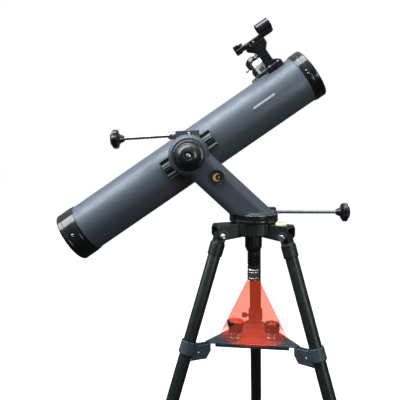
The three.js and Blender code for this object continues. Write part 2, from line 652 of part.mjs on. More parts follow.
// ---------- Control rods ----------
// A rod turns on its own axis, which is drawn as X, with its worm at the origin and its knob towards +X.
const controlRod = (length, facing, coupling) => {
  const worm = join(wormThread(facing), rodX(ROD_RADIUS, -ROD_TAIL, length, SMALL));
  return coupling ? join(worm, rodX(COUPLING_RADIUS, coupling, coupling + COUPLING_LENGTH, SMALL)) : worm;
};

const rodKnob = (length) => {
  const lobes = 7;
  const outline = [];
  for (let i = 0; i < lobes * 6; i += 1) {
    const angle = 2 * Math.PI * i / (lobes * 6);
    const radius = ROD_KNOB_RADIUS - 1.6 * (1 - Math.cos(lobes * angle)) / 2;
    outline.push([radius * Math.cos(angle), radius * Math.sin(angle)]);
  }
  const wheel = plateZ(outline, length - ROD_KNOB_WIDTH, length).rotateY(Math.PI / 2);
  const collar = turnedX([
    [0, length - 26], [6, length - 26], [8, length - 22], [14, length - ROD_KNOB_WIDTH + 1],
    [0, length - ROD_KNOB_WIDTH + 1],
  ], MEDIUM);
  const face = turnedX([
    [0, length - 3], [ROD_KNOB_RADIUS - 5, length - 3], [ROD_KNOB_RADIUS - 9, length + 4], [0, length + 5],
  ], MEDIUM);
  return cut(join(wheel, collar, face), rodX(ROD_RADIUS + GAP, length - 40, length - 4, SMALL));
};

// ---------- Arm ----------
function arm() {
  const run = ARM_FOOT_X - ALTITUDE_X;
  const fall = ALTITUDE_Z - PLATE_BOTTOM;
  const length = Math.hypot(run, fall);
  const lean = Math.atan2(run, -fall);
  const beam = plateZ(roundedOutline(ARM_WIDTH / 2, ARM_DEPTH / 2, 19), 0, length + 45)
    .rotateY(lean).translate(ALTITUDE_X, ARM_Y, ALTITUDE_Z);
  const head = turnedY([
    [0, ARM_FRONT], [HEAD_RADIUS - 6, ARM_FRONT], [HEAD_RADIUS, ARM_FRONT + 7],
    [HEAD_RADIUS, ARM_BACK], [0, ARM_BACK],
  ], LARGE).translate(ALTITUDE_X, 0, ALTITUDE_Z);
  const plate = turnedZ([
    [0, PLATE_BOTTOM], [BASE_RADIUS, PLATE_BOTTOM], [BASE_RADIUS, PLATE_TOP - 1],
    [BASE_RADIUS - 1, PLATE_TOP], [0, PLATE_TOP],
  ], LARGE);
  const atHead = (shape) => shape.rotateY(-rad(ALTITUDE_ROD_TILT)).translate(ALTITUDE_X, 0, ALTITUDE_Z);
  const housingTop = ALTITUDE_WORM_R + CHANNEL_RADIUS + 2;
  const housing = atHead(box(-HOUSING_HALF, HOUSING_HALF, ALTITUDE_WHEEL_Y - CHANNEL_RADIUS - 4, ARM_BACK,
    ALTITUDE_WORM_R - 18, housingTop));
  const atWorm = (shape) => atHead(shape.translate(0, ALTITUDE_WHEEL_Y, ALTITUDE_WORM_R));
  const channel = atWorm(rodX(CHANNEL_RADIUS, -WORM_ROOM, WORM_ROOM, SMALL));
  const rodHole = atWorm(rodX(ROD_RADIUS + RUN, -2 * HOUSING_HALF, ROD_TAIL + RUN, SMALL));
  const wheelRoom = ALTITUDE_PITCH_RADIUS + ADDENDUM + RUN;
  const cavity = rodY(wheelRoom, ALTITUDE_WHEEL_Y - WHEEL_FACE / 2 - SLIT, ARM_BACK + 5, LARGE)
    .translate(ALTITUDE_X, 0, ALTITUDE_Z);
  const shaftBore = rodY(SHAFT_RADIUS + RUN, ARM_FRONT - 5, ARM_BACK, MEDIUM)
    .translate(ALTITUDE_X, 0, ALTITUDE_Z);
  const under = box(-200, 200, -200, 200, PLATE_BOTTOM - 200, PLATE_BOTTOM);
  const wormRoom = box(-31, BASE_RADIUS + 5, AZIMUTH_WORM_Y - WORM_BOX_HALF - 1, AZIMUTH_WORM_Y + 30,
    PLATE_BOTTOM - 5, PLATE_TOP + 40);
  return cut(join(beam, head, plate, housing), under, wormRoom, cavity, shaftBore, channel, rodHole);
}

function altitudeWheel() {
  const wormAngle = 90 + ALTITUDE_ROD_TILT - ALTITUDE_ANGLE;
  const wheel = plateZ(wheelOutline(ALTITUDE_TEETH, MODULE), -WHEEL_FACE / 2, WHEEL_FACE / 2)
    .rotateZ(gapTurn(ALTITUDE_TEETH, wormAngle)).rotateX(Math.PI / 2).translate(0, ALTITUDE_WHEEL_Y, 0);
  return cut(wheel, rodY(SHAFT_RADIUS + GAP, ALTITUDE_WHEEL_Y - 10, ALTITUDE_WHEEL_Y + 10, MEDIUM));
}

function altitudeShaft() {
  return join(
    rodY(SHAFT_RADIUS, ARM_FRONT - 12, ARM_BACK - GAP, MEDIUM),
    rodY(24, ALTITUDE_WHEEL_Y + WHEEL_FACE / 2 + GAP, ARM_BACK - GAP, MEDIUM),
  );
}

function lockKnobDome() {
  const back = ARM_FRONT - SLIT;
  const front = back - KNOB_DEPTH;
  const dome = turnedY([
    [0, front + 2.5], [4, front + 2], [7.5, front], [12, front + 0.6], [20, front + 4], [25, front + 9],
    [27, front + 14], [31, front + 15], [KNOB_RADIUS, front + 18], [KNOB_RADIUS, back - 2],
    [KNOB_RADIUS - 3, back], [0, back],
  ], LARGE);
  return cut(dome, rodY(SHAFT_RADIUS + RUN, back - 13, back + 5, MEDIUM));
}

// ---------- Optical tube, drawn along X with its axis at the origin ----------
const radial = (shape, roll) => shape.rotateX(rad(roll));

function mainTube() {
  const tube = ringX(TUBE_RADIUS - TUBE_WALL, TUBE_RADIUS, TUBE_REAR, TUBE_FRONT, LARGE);
  const hole = rodZ(DRAW_RADIUS + 4, 20, TUBE_RADIUS + 20, MEDIUM).translate(FOCUS_AT, 0, 0);
  return cut(tube, radial(hole, FOCUS_ROLL));
}

function rearCell() {
  const inner = TUBE_RADIUS + GAP;
  return turnedX([
    [0, CELL_REAR + CELL_DISH], [CELL_RIM - 3, CELL_REAR + CELL_DISH], [CELL_RIM, CELL_REAR],
    [RING_RADIUS - 1.5, CELL_REAR], [RING_RADIUS, CELL_REAR + 2],
    [RING_RADIUS, CELL_FRONT - 5], [RING_RADIUS - 1, CELL_FRONT - 4],
    [RING_RADIUS - 1, CELL_FRONT], [inner, CELL_FRONT], [inner, TUBE_REAR - GAP], [0, TUBE_REAR - GAP],
  ], LARGE);
}

function primaryMirror() {
  const back = TUBE_REAR + 4;
  const front = back + MIRROR_THICK;
  return turnedX([
    [0, back], [MIRROR_RADIUS, back], [MIRROR_RADIUS, front],
    [MIRROR_RADIUS * 0.7, front - MIRROR_DISH * 0.5], [MIRROR_RADIUS * 0.35, front - MIRROR_DISH * 0.87],
    [0, front - MIRROR_DISH],
  ], LARGE);
}

function frontRing() {
  const inner = TUBE_RADIUS + GAP;
  return turnedX([
    [inner, RING_REAR], [RING_RADIUS - 1, RING_REAR], [RING_RADIUS - 1, RING_REAR + 4],
    [RING_RADIUS, RING_REAR + 5], [RING_RADIUS, RING_FRONT - 2], [RING_RADIUS - 2, RING_FRONT],
    [MOUTH_RADIUS + 1, RING_FRONT], [MOUTH_RADIUS, RING_FRONT - 2], [MOUTH_RADIUS, TUBE_FRONT + GAP],
    [inner, TUBE_FRONT + GAP],
    [inner, RING_REAR],
  ], LARGE);
}

// The secondary's back and holder lie ahead of a plane at 45 degrees through the focuser's axis.
const behind = () => box(-150, 0, -80, 80, -80, 80).rotateY(rad(45));
const slantCut = (offset) => behind().translate(FOCUS_AT + offset, 0, 0);

function spider() {
  const vaneAt = FOCUS_AT + 32;
  const reach = TUBE_RADIUS - TUBE_WALL - GAP;
  let web = cut(rodX(SECONDARY_RADIUS - 1, FOCUS_AT - 20, vaneAt + 14, MEDIUM), slantCut(5));
  for (const angle of [30, 150, 270]) {
    const vane = box(vaneAt, vaneAt + 12, -VANE_THICK / 2, VANE_THICK / 2, 5, reach);
    web = join(web, vane.rotateX(rad(angle)));
  }
  return web.rotate([FOCUS_ROLL, 0, 0]);
}

function secondaryMirror() {
  const rod = rodX(SECONDARY_RADIUS, FOCUS_AT - 40, FOCUS_AT + 40, MEDIUM);
  return cut(common(rod, slantCut(5 - GAP)), slantCut(0)).rotate([FOCUS_ROLL, 0, 0]);
}

function saddlePlate() {
  const front = ARM_BACK + SLIT;
  const half = SADDLE_LENGTH / 2;
  const high = SADDLE_HEIGHT / 2;
  const block = box(-half, half, front, TUBE_Y - TUBE_RADIUS + SADDLE_HUG, -high, high);
  const tubeRoom = rodX(TUBE_RADIUS + GAP, -half - 10, half + 10, LARGE).translate(0, TUBE_Y, -TUBE_DROP);
  const grooves = [[15.5, 20.5], [8, 9], [1, 5], [-10, -6], [-20, -14]].map(([z0, z1]) => (
    box(-half - 5, half + 5, front - 5, front + 2.6, z0, z1)));
  return cut(block, tubeRoom, ...grooves);
}

// ---------- Focuser, drawn upright on the tube axis ----------
function focuserBody() {
  const base = join(
    box(-26, 26, -24, 24, TUBE_RADIUS - 16, TUBE_RADIUS + 5),
    rodZ(FOCUS_BODY_RADIUS, TUBE_RADIUS, FOCUS_BODY_TOP, MEDIUM),
    box(-15, 15, 5, PINION_Y + 9, TUBE_RADIUS + 5, PINION_Z + 10),
  );
  return cut(
    base,
    rodX(TUBE_RADIUS + GAP, -60, 60, LARGE),
    rodZ(DRAW_RADIUS + RUN, 20, FOCUS_BODY_TOP + 5, MEDIUM),
    box(-RACK_HALF - RUN, RACK_HALF + RUN, 0, RACK_LINE + ADDENDUM + RUN, 20, FOCUS_BODY_TOP + 5),
    rodX(PINION_ROOM, -6, 6, MEDIUM).translate(0, PINION_Y, PINION_Z),
    rodX(3 + RUN, -30, 30, SMALL).translate(0, PINION_Y, PINION_Z),
  );
}

function drawtube() {
  const low = TUBE_RADIUS - DRAW_INSIDE;
  const pitch = Math.PI * PINION_MODULE;
  const scale = PINION_MODULE / MODULE;
  let rack = solid(box(-RACK_HALF, RACK_HALF, DRAW_RADIUS - 1, RACK_LINE - DEDENDUM * scale,
    PINION_Z - pitch * RACK_TEETH / 2, PINION_Z + pitch * RACK_TEETH / 2));
  for (let i = 0; i < RACK_TEETH; i += 1) {
    const at = PINION_Z + pitch * (i - RACK_TEETH / 2 + 0.5);
    const root = pitch * TOOTH_ROOT / 2;
    const tip = pitch * TOOTH_TIP / 2;
    const tooth = new THREE.ExtrudeGeometry(new THREE.Shape(points([
      [RACK_LINE - DEDENDUM * scale - 0.1, at - root], [RACK_LINE + ADDENDUM * scale, at - tip],
      [RACK_LINE + ADDENDUM * scale, at + tip], [RACK_LINE - DEDENDUM * scale - 0.1, at + root],
    ])), { depth: 2 * RACK_HALF, bevelEnabled: false });
    tooth.applyMatrix4(new THREE.Matrix4().set(0, 0, 1, -RACK_HALF, 1, 0, 0, 0, 0, 1, 0, 0, 0, 0, 0, 1));
    rack = join(rack, tooth);
  }
  const tube = join(
    rodZ(DRAW_RADIUS, low, DRAW_TOP, MEDIUM),
    turnedZ([
      [0, DRAW_TOP - 14], [20, DRAW_TOP - 14], [21.5, DRAW_TOP - 12], [21.5, DRAW_TOP - 2],
      [20.5, DRAW_TOP], [0, DRAW_TOP],
    ], MEDIUM),
    rack,
  );
  return cut(tube, rodZ(DRAW_RADIUS - DRAW_WALL, low - 5, DRAW_TOP + 5, MEDIUM));
}

// The pinion has a tooth on the side of the rack, where the rack has a gap.
function focuserPinion() {
  const gear = plateZ(wheelOutline(PINION_TEETH, PINION_MODULE), -RACK_HALF, RACK_HALF)
    .rotateY(Math.PI / 2);
  const knob = (side) => turnedX([
    [0, side * 16], [8, side * 16], [11.5, side * 19], [11.5, side * 29], [9, side * 31], [0, side * 31],
  ], MEDIUM);
  return join(gear, rodX(3, -20, 20, SMALL), knob(-1), knob(1)).translate(0, PINION_Y, PINION_Z);
}

// ---------- Finder, drawn upright on the tube axis ----------
function finderBracket() {
  const outline = [
    [-20, TUBE_RADIUS - 8], [20, TUBE_RADIUS - 8], [20, TUBE_RADIUS + 13], [5, TUBE_RADIUS + 22],
    [4, FINDER_RAIL_LOW - 25], [14, FINDER_RAIL_LOW - 13], [14, FINDER_RAIL_LOW - GAP],
    [-34, FINDER_RAIL_LOW - GAP], [-34, FINDER_RAIL_LOW - 9], [-20, FINDER_RAIL_LOW - 21],
    [-18, TUBE_RADIUS + 22], [-20, TUBE_RADIUS + 14],
  ];
  return cut(
    plateY(outline, -14, 14),
    rodX(TUBE_RADIUS + GAP, -60, 60, LARGE),
    box(-60, 60, 9, 40, TUBE_RADIUS + 12, 200),
    box(-60, 60, -40, -9, TUBE_RADIUS + 12, 200),
  );
}

function finderBody() {
  const rail = plateY([
    [FINDER_RAIL_REAR, FINDER_RAIL_LOW], [HOOD_FRONT - 6, FINDER_RAIL_LOW],
    [HOOD_FRONT - 1, FINDER_RAIL_LOW + 3], [HOOD_FRONT - 1, FINDER_RAIL_HIGH],
    [FINDER_RAIL_REAR, FINDER_RAIL_HIGH],
  ], -9, 9);
  const block = plateY([
    [FINDER_RAIL_REAR - 2, FINDER_RAIL_LOW - 2], [-44, FINDER_RAIL_LOW - 2], [-40, FINDER_RAIL_HIGH],
    [-46, FINDER_RAIL_HIGH + 10], [FINDER_RAIL_REAR, FINDER_RAIL_HIGH + 10],
    [FINDER_RAIL_REAR - 2, FINDER_RAIL_HIGH + 7],
  ], -8, 8);
  const hood = rodX(HOOD_RADIUS, HOOD_REAR, HOOD_FRONT, MEDIUM).translate(0, 0, HOOD_CENTRE);
  const sight = rodX(HOOD_RADIUS - HOOD_WALL, HOOD_REAR - 5, HOOD_FRONT + 5, MEDIUM);
  sight.translate(0, 0, HOOD_CENTRE);
  return cut(join(rail, block, hood), sight);
}

function finderLens() {
  const edge = HOOD_RADIUS - HOOD_WALL - GAP;
  const lens = turnedX([[0, LENS_AT], [edge, LENS_AT + 2], [edge, LENS_AT + 4], [0, LENS_AT + 4]], MEDIUM);
  return lens.translate(0, 0, HOOD_CENTRE);
}

// ---------- Assembly ----------
const at = (group, x, y, z) => {
  group.position.set(x, y, z);
  return group;
};

function makeLeg(number, azimuth) {
  const spoke = new THREE.Group();
  spoke.rotation.z = rad(azimuth);
  const leg = at(new THREE.Group(), PIVOT_RADIUS, 0, 0);
  leg.rotation.y = -LEG_TILT;
  leg.add(
    piece(`leg_${number}_pivot_bolt`, pivotBolt(), 'chrome'),
    piece(`leg_${number}_top`, legTop(), 'satinBlack'),
    piece(`leg_${number}_tube`, legTube(), 'satinBlack'),
    piece(`leg_${number}_tray_collar`, trayCollar(), 'slate'),
    piece(`leg_${number}_lock`, legLock(), 'satinBlack'),
    piece(`leg_${number}_lock_knob`, lockKnob(), 'satinBlack'),
    piece(`leg_${number}_lower_tube`, lowerTube(), 'satinBlack'),
    piece(`leg_${number}_foot`, foot(), 'rubber'),
  );
  spoke.add(leg);
  return spoke;
}

function makeTripod() {
  const tripod = at(new THREE.Group(), 0, 0, PIVOT_Z);
  tripod.rotation.z = rad(TRIPOD_YAW);
  tripod.add(
    piece('tripod_hub', tripodHub(), 'satinBlack'),
    piece('bubble_level', bubbleLevel(), 'vial'),
    piece('base_ring', baseRing(), 'satinBlack'),
    piece('azimuth_bolt', azimuthBolt(), 'steel'),
    piece('lamp_socket', lampSocket(), 'satinBlack'),
    piece('lamp_barrel', lampBarrel(), 'glossBlack'),
    piece('lamp_head', lampHead(), 'chrome'),
    piece('lamp_lens', lampLens(), 'redLens'),
    piece('tray', tray(), 'slate'),
  );
  LEG_AZIMUTHS.forEach((azimuth, i) => tripod.add(makeLeg(i + 1, azimuth)));
  return tripod;
}

function makeEyepieces() {
  const both = at(new THREE.Group(), 0, -EYEPIECE_FORWARD, PIVOT_Z + TRAY_LEVEL);
  const left = at(new THREE.Group(), -EYEPIECE_SPREAD, 0, 0);
  const right = at(new THREE.Group(), EYEPIECE_SPREAD, 0, 0);
  left.add(
    piece('eyepiece_1_barrel', eyepieceBarrel(), 'chrome'),
    piece('eyepiece_1_body', flaredBody(), 'glossBlack'),
  );
  right.add(
    piece('eyepiece_2_barrel', eyepieceBarrel(), 'chrome'),
    piece('eyepiece_2_body', steppedBody(), 'glossBlack'),
  );
  both.add(left, right);
  return both;
}

function makeTube() {
  const optics = at(new THREE.Group(), 0, TUBE_Y, -TUBE_DROP);
  const focuser = at(new THREE.Group(), FOCUS_AT, 0, 0);
  focuser.rotation.x = rad(FOCUS_ROLL);
  focuser.add(
    piece('focuser_body', focuserBody(), 'glossBlack'),
    piece('focuser_drawtube', drawtube(), 'chrome'),
    piece('focuser_pinion', focuserPinion(), 'glossBlack'),
  );
  const finder = at(new THREE.Group(), FINDER_AT, 0, 0);
  finder.rotation.x = rad(FINDER_ROLL);
  finder.add(
    piece('finder_bracket', finderBracket(), 'glossBlack'),
    piece('finder_body', finderBody(), 'glossBlack'),
    piece('finder_lens', finderLens(), 'glass'),
  );
  optics.add(
    piece('main_tube', mainTube(), 'gunmetal'),
    piece('rear_cell', rearCell(), 'glossBlack'),
    piece('primary_mirror', primaryMirror(), 'mirror'),
    piece('front_ring', frontRing(), 'glossBlack'),
    piece('spider', spider(), 'satinBlack'),
    piece('secondary_mirror', secondaryMirror(), 'mirror'),
    focuser,
    finder,
  );
  const tube = new THREE.Group();
  tube.rotation.y = -rad(ALTITUDE_ANGLE);
  tube.add(
    piece('saddle_plate', saddlePlate(), 'satinBlack'),
    piece('altitude_wheel', altitudeWheel(), 'brass'),
    piece('altitude_shaft', altitudeShaft(), 'steel'),
    optics,
  );
  return tube;
}

function makeMount() {
  const mount = at(new THREE.Group(), 0, 0, PIVOT_Z);
  const azimuthControl = at(new THREE.Group(), 0, AZIMUTH_WORM_Y, WHEEL_LEVEL);
  azimuthControl.add(
    piece('azimuth_rod', controlRod(AZIMUTH_ROD_LENGTH, 0.5), 'steel'),
    piece('azimuth_knob', rodKnob(AZIMUTH_ROD_LENGTH + 18), 'glossBlack'),
  );
  const head = at(new THREE.Group(), ALTITUDE_X, 0, ALTITUDE_Z);
  const altitudeControl = new THREE.Group();
  altitudeControl.rotation.y = -rad(ALTITUDE_ROD_TILT);
  const wormPlace = at(new THREE.Group(), 0, ALTITUDE_WHEEL_Y, ALTITUDE_WORM_R);
  wormPlace.rotation.z = Math.PI;
  wormPlace.add(
    piece('altitude_rod', controlRod(ALTITUDE_ROD_LENGTH, 0.75, HOUSING_HALF + 1), 'steel'),
    piece('altitude_knob', rodKnob(ALTITUDE_ROD_LENGTH + 18), 'glossBlack'),
  );
  altitudeControl.add(wormPlace);
  head.add(piece('altitude_lock_knob', lockKnobDome(), 'glossBlack'), altitudeControl, makeTube());
  mount.add(
    piece('azimuth_wheel', azimuthWheel(), 'brass'),
    piece('turntable', turntable(), 'glossBlack'),
    piece('arm', arm(), 'gunmetal'),
    azimuthControl,
    head,
  );
  return mount;
}

const telescope = new THREE.Group();
telescope.add(makeTripod(), makeMount(), makeEyepieces());

// Bring the origin under the middle of the whole object.
telescope.updateMatrixWorld(true);
const bounds = new THREE.Box3().setFromObject(telescope, true);
const middle = bounds.getCenter(new THREE.Vector3());
telescope.position.set(-middle.x, -middle.y, -bounds.min.z);

export default telescope;
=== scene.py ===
import json
import math

import bmesh
import bpy
import numpy as np
from mathutils import Matrix, Vector


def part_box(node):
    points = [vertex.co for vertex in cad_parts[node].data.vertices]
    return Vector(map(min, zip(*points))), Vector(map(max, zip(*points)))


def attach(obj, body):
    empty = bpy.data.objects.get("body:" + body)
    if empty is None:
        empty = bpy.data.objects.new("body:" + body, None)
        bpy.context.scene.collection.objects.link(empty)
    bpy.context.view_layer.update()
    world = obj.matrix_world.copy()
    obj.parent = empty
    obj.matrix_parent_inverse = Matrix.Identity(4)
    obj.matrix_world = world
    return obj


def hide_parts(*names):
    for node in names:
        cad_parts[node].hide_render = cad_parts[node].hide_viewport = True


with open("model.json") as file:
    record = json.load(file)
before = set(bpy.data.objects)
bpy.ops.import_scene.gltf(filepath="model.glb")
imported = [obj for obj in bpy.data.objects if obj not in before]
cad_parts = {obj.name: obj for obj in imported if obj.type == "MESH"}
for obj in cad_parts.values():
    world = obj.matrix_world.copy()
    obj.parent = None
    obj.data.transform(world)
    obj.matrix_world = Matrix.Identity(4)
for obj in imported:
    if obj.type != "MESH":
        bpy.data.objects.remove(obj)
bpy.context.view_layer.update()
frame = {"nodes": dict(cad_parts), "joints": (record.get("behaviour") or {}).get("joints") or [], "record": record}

# A reflector telescope on a one-arm mount and a folding tripod. Pieces are drawn in millimetres, each in the
# frame of what it belongs to, and those frames are worked out from the joints and boxes of the fixed model.
MM = 0.001
FINE = 128
ROUND = 64
SMALL = 32
GAP = 0.3  # between touching pieces


# ---------- Frames ----------
record = frame["record"]
joints = {joint["name"]: joint for joint in frame["joints"]}
home = {node: body for body, nodes in record["behaviour"]["bodies"].items() for node in nodes}


def frame_at(origin, x, y=None, z=None):
    """A right-handed frame with its X along x, and its Y or Z as near to the given direction as it can be."""
    x = Vector(x).normalized()
    if y is not None:
        z = x.cross(Vector(y)).normalized()
    y = Vector(z).cross(x).normalized()
    z = x.cross(y)
    turn = Matrix((x, y, z)).transposed().to_4x4()
    return Matrix.Translation(Vector(origin)) @ turn


def centre(node):
    low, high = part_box(node)
    return (low + high) / 2


def span(node, place):
    """Lowest and highest corner of a CAD node in another frame, in millimetres."""
    co = np.array([v.co for v in frame["nodes"][node].data.vertices], float)
    inverse = np.array(place.inverted())
    local = (co @ inverse[:3, :3].T + inverse[:3, 3]) / MM
    return Vector(local.min(0)), Vector(local.max(0))


AXIS = Vector(joints["azimuth"]["pos_m"])
MOUNT = frame_at(AXIS, (1, 0, 0), z=(0, 0, 1))
BACK_LEG = Vector(joints["leg_1_fold"]["pos_m"]) - AXIS
TRIPOD = frame_at(AXIS, BACK_LEG.cross(Vector((0, 0, 1))), z=(0, 0, 1))
TUBE_LINE = Vector(joints["focus_knob_turn"]["axis"])
HEAD = frame_at(joints["altitude"]["pos_m"], TUBE_LINE, y=(0, 1, 0))
HEAD_LEVEL = frame_at(joints["altitude"]["pos_m"], (1, 0, 0), z=(0, 0, 1))
mirror_centre = centre("primary_mirror")
from_mirror = (HEAD.translation - mirror_centre).dot(TUBE_LINE)
OPTICS = frame_at(mirror_centre + TUBE_LINE * from_mirror, TUBE_LINE, y=(0, 1, 0))
pinion = Vector(joints["focus_knob_turn"]["pos_m"])
focus_at = OPTICS.translation + TUBE_LINE * (pinion - OPTICS.translation).dot(TUBE_LINE)
FOCUSER = frame_at(focus_at, TUBE_LINE, z=joints["focus"]["axis"])
lens_offset = centre("finder_lens") - OPTICS.translation
finder_at = OPTICS.translation + TUBE_LINE * lens_offset.dot(TUBE_LINE)
FINDER = frame_at(finder_at, TUBE_LINE, z=centre("finder_lens") - finder_at)
azimuth_worm = joints["azimuth_control_turn"]
AZIMUTH_ROD = frame_at(azimuth_worm["pos_m"], azimuth_worm["axis"], z=(0, 0, 1))
altitude_worm = joints["altitude_control_turn"]
ALTITUDE_ROD = frame_at(altitude_worm["pos_m"], altitude_worm["axis"], z=(0, 0, 1))


def leg_frame(number):
    fold = joints[f"leg_{number}_fold"]
    down = Vector(joints[f"leg_{number}_extend"]["axis"])
    outwards = Vector(fold["axis"]).cross(-down)
    return frame_at(fold["pos_m"], outwards, z=-down)


# ---------- Mesh making ----------
def softened(profile, radius, steps=3):
    """A profile with its corners rounded. A closed profile repeats its first point at its end."""
    closed = profile[0] == profile[-1]
    corners = [Vector(p) for p in (profile[:-1] if closed else profile)]
    result = []
    for i, here in enumerate(corners):
        at_end = not closed and i in (0, len(corners) - 1)
        before = corners[i - 1] - here
        after = corners[(i + 1) % len(corners)] - here
        if at_end or before.length < 1e-6 or after.length < 1e-6 or before.angle(after) > math.radians(168):
            result.append(tuple(here))
            continue
        reach = min(radius, 0.4 * before.length, 0.4 * after.length)
        start = here + before.normalized() * reach
        end = here + after.normalized() * reach
        for k in range(steps + 1):
            t = k / steps
            point = start * (1 - t) ** 2 + here * (2 * t * (1 - t)) + end * t ** 2
            result.append(tuple(point))
    if closed:
        result.append(result[0])
    return result


def new_object(name, bm, place):
    bmesh.ops.recalc_face_normals(bm, faces=bm.faces)
    mesh = bpy.data.meshes.new(name)
    bm.to_mesh(mesh)
    bm.free()
    obj = bpy.data.objects.new(name, mesh)
    bpy.context.scene.collection.objects.link(obj)
    obj.matrix_world = place
    shade(obj)
    return obj


def shade(obj, angle=32):
    mesh = obj.data
    mesh.polygons.foreach_set("use_smooth", [True] * len(mesh.polygons))
    mesh.set_sharp_from_angle(angle=math.radians(angle))


SWAP = {
    "Z": lambda r, h, a: (r * math.cos(a), r * math.sin(a), h),
    "X": lambda r, h, a: (h, r * math.cos(a), r * math.sin(a)),
    "Y": lambda r, h, a: (r * math.sin(a), h, r * math.cos(a)),
}


def lathe_into(bm, profile, axis="Z", sides=ROUND, soft=0.5, wave=None, at=None):
    """Turns a profile of (radius, height) points round an axis; wave changes the radius round the turn."""
    points = softened(profile, soft) if soft else list(profile)
    closed = profile[0] == profile[-1]
    if closed:
        points = points[:-1]
    rings = []
    for r, h in points:
        if r < 1e-6:
            place = Vector(SWAP[axis](0, h, 0)) * MM
            rings.append([bm.verts.new(at @ place if at else place)])
            continue
        ring = []
        for k in range(sides):
            angle = 2 * math.pi * k / sides
            radius = wave(r, h, angle) if wave else r
            place = Vector(SWAP[axis](radius, h, angle)) * MM
            ring.append(bm.verts.new(at @ place if at else place))
        rings.append(ring)
    pairs = list(zip(rings, rings[1:] + ([rings[0]] if closed else [])))
    for low, high in pairs:
        for k in range(sides):
            j = (k + 1) % sides
            if len(low) == 1 and len(high) == 1:
                continue
            if len(low) == 1:
                bm.faces.new((low[0], high[j], high[k]))
            elif len(high) == 1:
                bm.faces.new((low[k], low[j], high[0]))
            else:
                bm.faces.new((low[k], low[j], high[j], high[k]))


def lathe(name, place, profile, **kw):
    bm = bmesh.new()
    lathe_into(bm, profile, **kw)
    return new_object(name, bm, place)


def applied(obj):
    """Makes the object's modifiers part of its mesh."""
    graph = bpy.context.evaluated_depsgraph_get()
    mesh = bpy.data.meshes.new_from_object(obj.evaluated_get(graph))
    obj.modifiers.clear()
    obj.data = mesh
    return obj


def copy_of(node, name, place):
    """The CAD node's shape as a new object whose own axes are those of place."""
    bm = bmesh.new()
    bm.from_mesh(frame["nodes"][node].data)
    bmesh.ops.remove_doubles(bm, verts=bm.verts, dist=1e-6)
    bm.transform(place.inverted())
    return new_object(name, bm, place)


def cast(node, place, voxel=1.0, smooth=6, name=None):
    """A casting or moulding: the CAD shape with its edges and inner corners softly rounded."""
    obj = copy_of(node, name or f"{node}_cast", place)
    remesh = obj.modifiers.new("cast", "REMESH")
    remesh.mode = "VOXEL"
    remesh.voxel_size = voxel * MM
    remesh.use_smooth_shade = True
    relax = obj.modifiers.new("relax", "SMOOTH")
    relax.factor = 0.5
    relax.iterations = smooth
    applied(obj)
    obj.data.polygons.foreach_set("use_smooth", [True] * len(obj.data.polygons))
    return obj


def crisp(node, place, bevel=0.5, name=None):
    """A pressed or milled piece: the CAD shape with small even rounds on its edges."""
    obj = copy_of(node, name or f"{node}_fine", place)
    bm = bmesh.new()
    bm.from_mesh(obj.data)
    bmesh.ops.dissolve_limit(bm, angle_limit=math.radians(1), verts=bm.verts, edges=bm.edges)
    bm.to_mesh(obj.data)
    bm.free()
    edge = obj.modifiers.new("edge", "BEVEL")
    edge.width = bevel * MM
    edge.segments = 3
    edge.limit_method = "ANGLE"
    edge.angle_limit = math.radians(35)
    applied(obj)
    shade(obj)
    return obj


def screw_profile(radius, height):
    return [
        (0, height - 0.45 * radius), (0.42 * radius, height - 0.45 * radius), (0.5 * radius, height),
        (0.75 * radius, height * 0.94), (0.97 * radius, height * 0.6), (radius, 0), (0, -0.5),
    ]


def pointing(position, direction):
    """A small frame whose Z points in a direction, inside another frame, in millimetres."""
    direction = Vector(direction).normalized()
    return Matrix.Translation(Vector(position) * MM) @ direction.to_track_quat("Z", "Y").to_matrix().to_4x4()


def screws(name, place, spots, radius, height):
    bm = bmesh.new()
    for position, direction in spots:
        place_in = pointing(position, direction)
        lathe_into(bm, screw_profile(radius, height), sides=24, soft=0.25 * radius, at=place_in)
    return new_object(name, bm, place)


def around_x(x, radius, degrees):
    """A point round the tube, from the arm's side towards the top, and the way out from the axis there."""
    angle = math.radians(degrees)
    out = Vector((0, -math.cos(angle), math.sin(angle)))
    return Vector((x, 0, 0)) + out * radius, out


# ---------- Materials ----------
def material(name, colour, roughness, metallic=0.0, **sockets):
    made = bpy.data.materials.new(name)
    made.use_nodes = True
    shader = made.node_tree.nodes["Principled BSDF"]
    shader.inputs["Base Color"].default_value = (*colour, 1)
    shader.inputs["Roughness"].default_value = roughness
    shader.inputs["Metallic"].default_value = metallic
    for socket, value in sockets.items():
        shader.inputs[socket.replace("_", " ")].default_value = value
    return made


def shader_of(made):
    return made.node_tree.nodes["Principled BSDF"]


def noise(made, scale, detail=4.0, stretch=(1, 1, 1)):
    """Noise over the piece's own coordinates; scale is in features per metre."""
    tree = made.node_tree
    coords = tree.nodes.new("ShaderNodeTexCoord")
    mapping = tree.nodes.new("ShaderNodeMapping")
    mapping.inputs["Scale"].default_value = stretch
    texture = tree.nodes.new("ShaderNodeTexNoise")
    texture.inputs["Scale"].default_value = scale
    texture.inputs["Detail"].default_value = detail
    tree.links.new(coords.outputs["Object"], mapping.inputs["Vector"])
    tree.links.new(mapping.outputs["Vector"], texture.inputs["Vector"])
    return texture.outputs["Fac"]


def ramp(made, source, low, high, start=0.35, end=0.65):
    tree = made.node_tree
    node = tree.nodes.new("ShaderNodeMapRange")
    node.inputs["From Min"].default_value = start
    node.inputs["From Max"].default_value = end
    node.inputs["To Min"].default_value = low
    node.inputs["To Max"].default_value = high
    tree.links.new(source, node.inputs["Value"])
    return node.outputs["Result"]


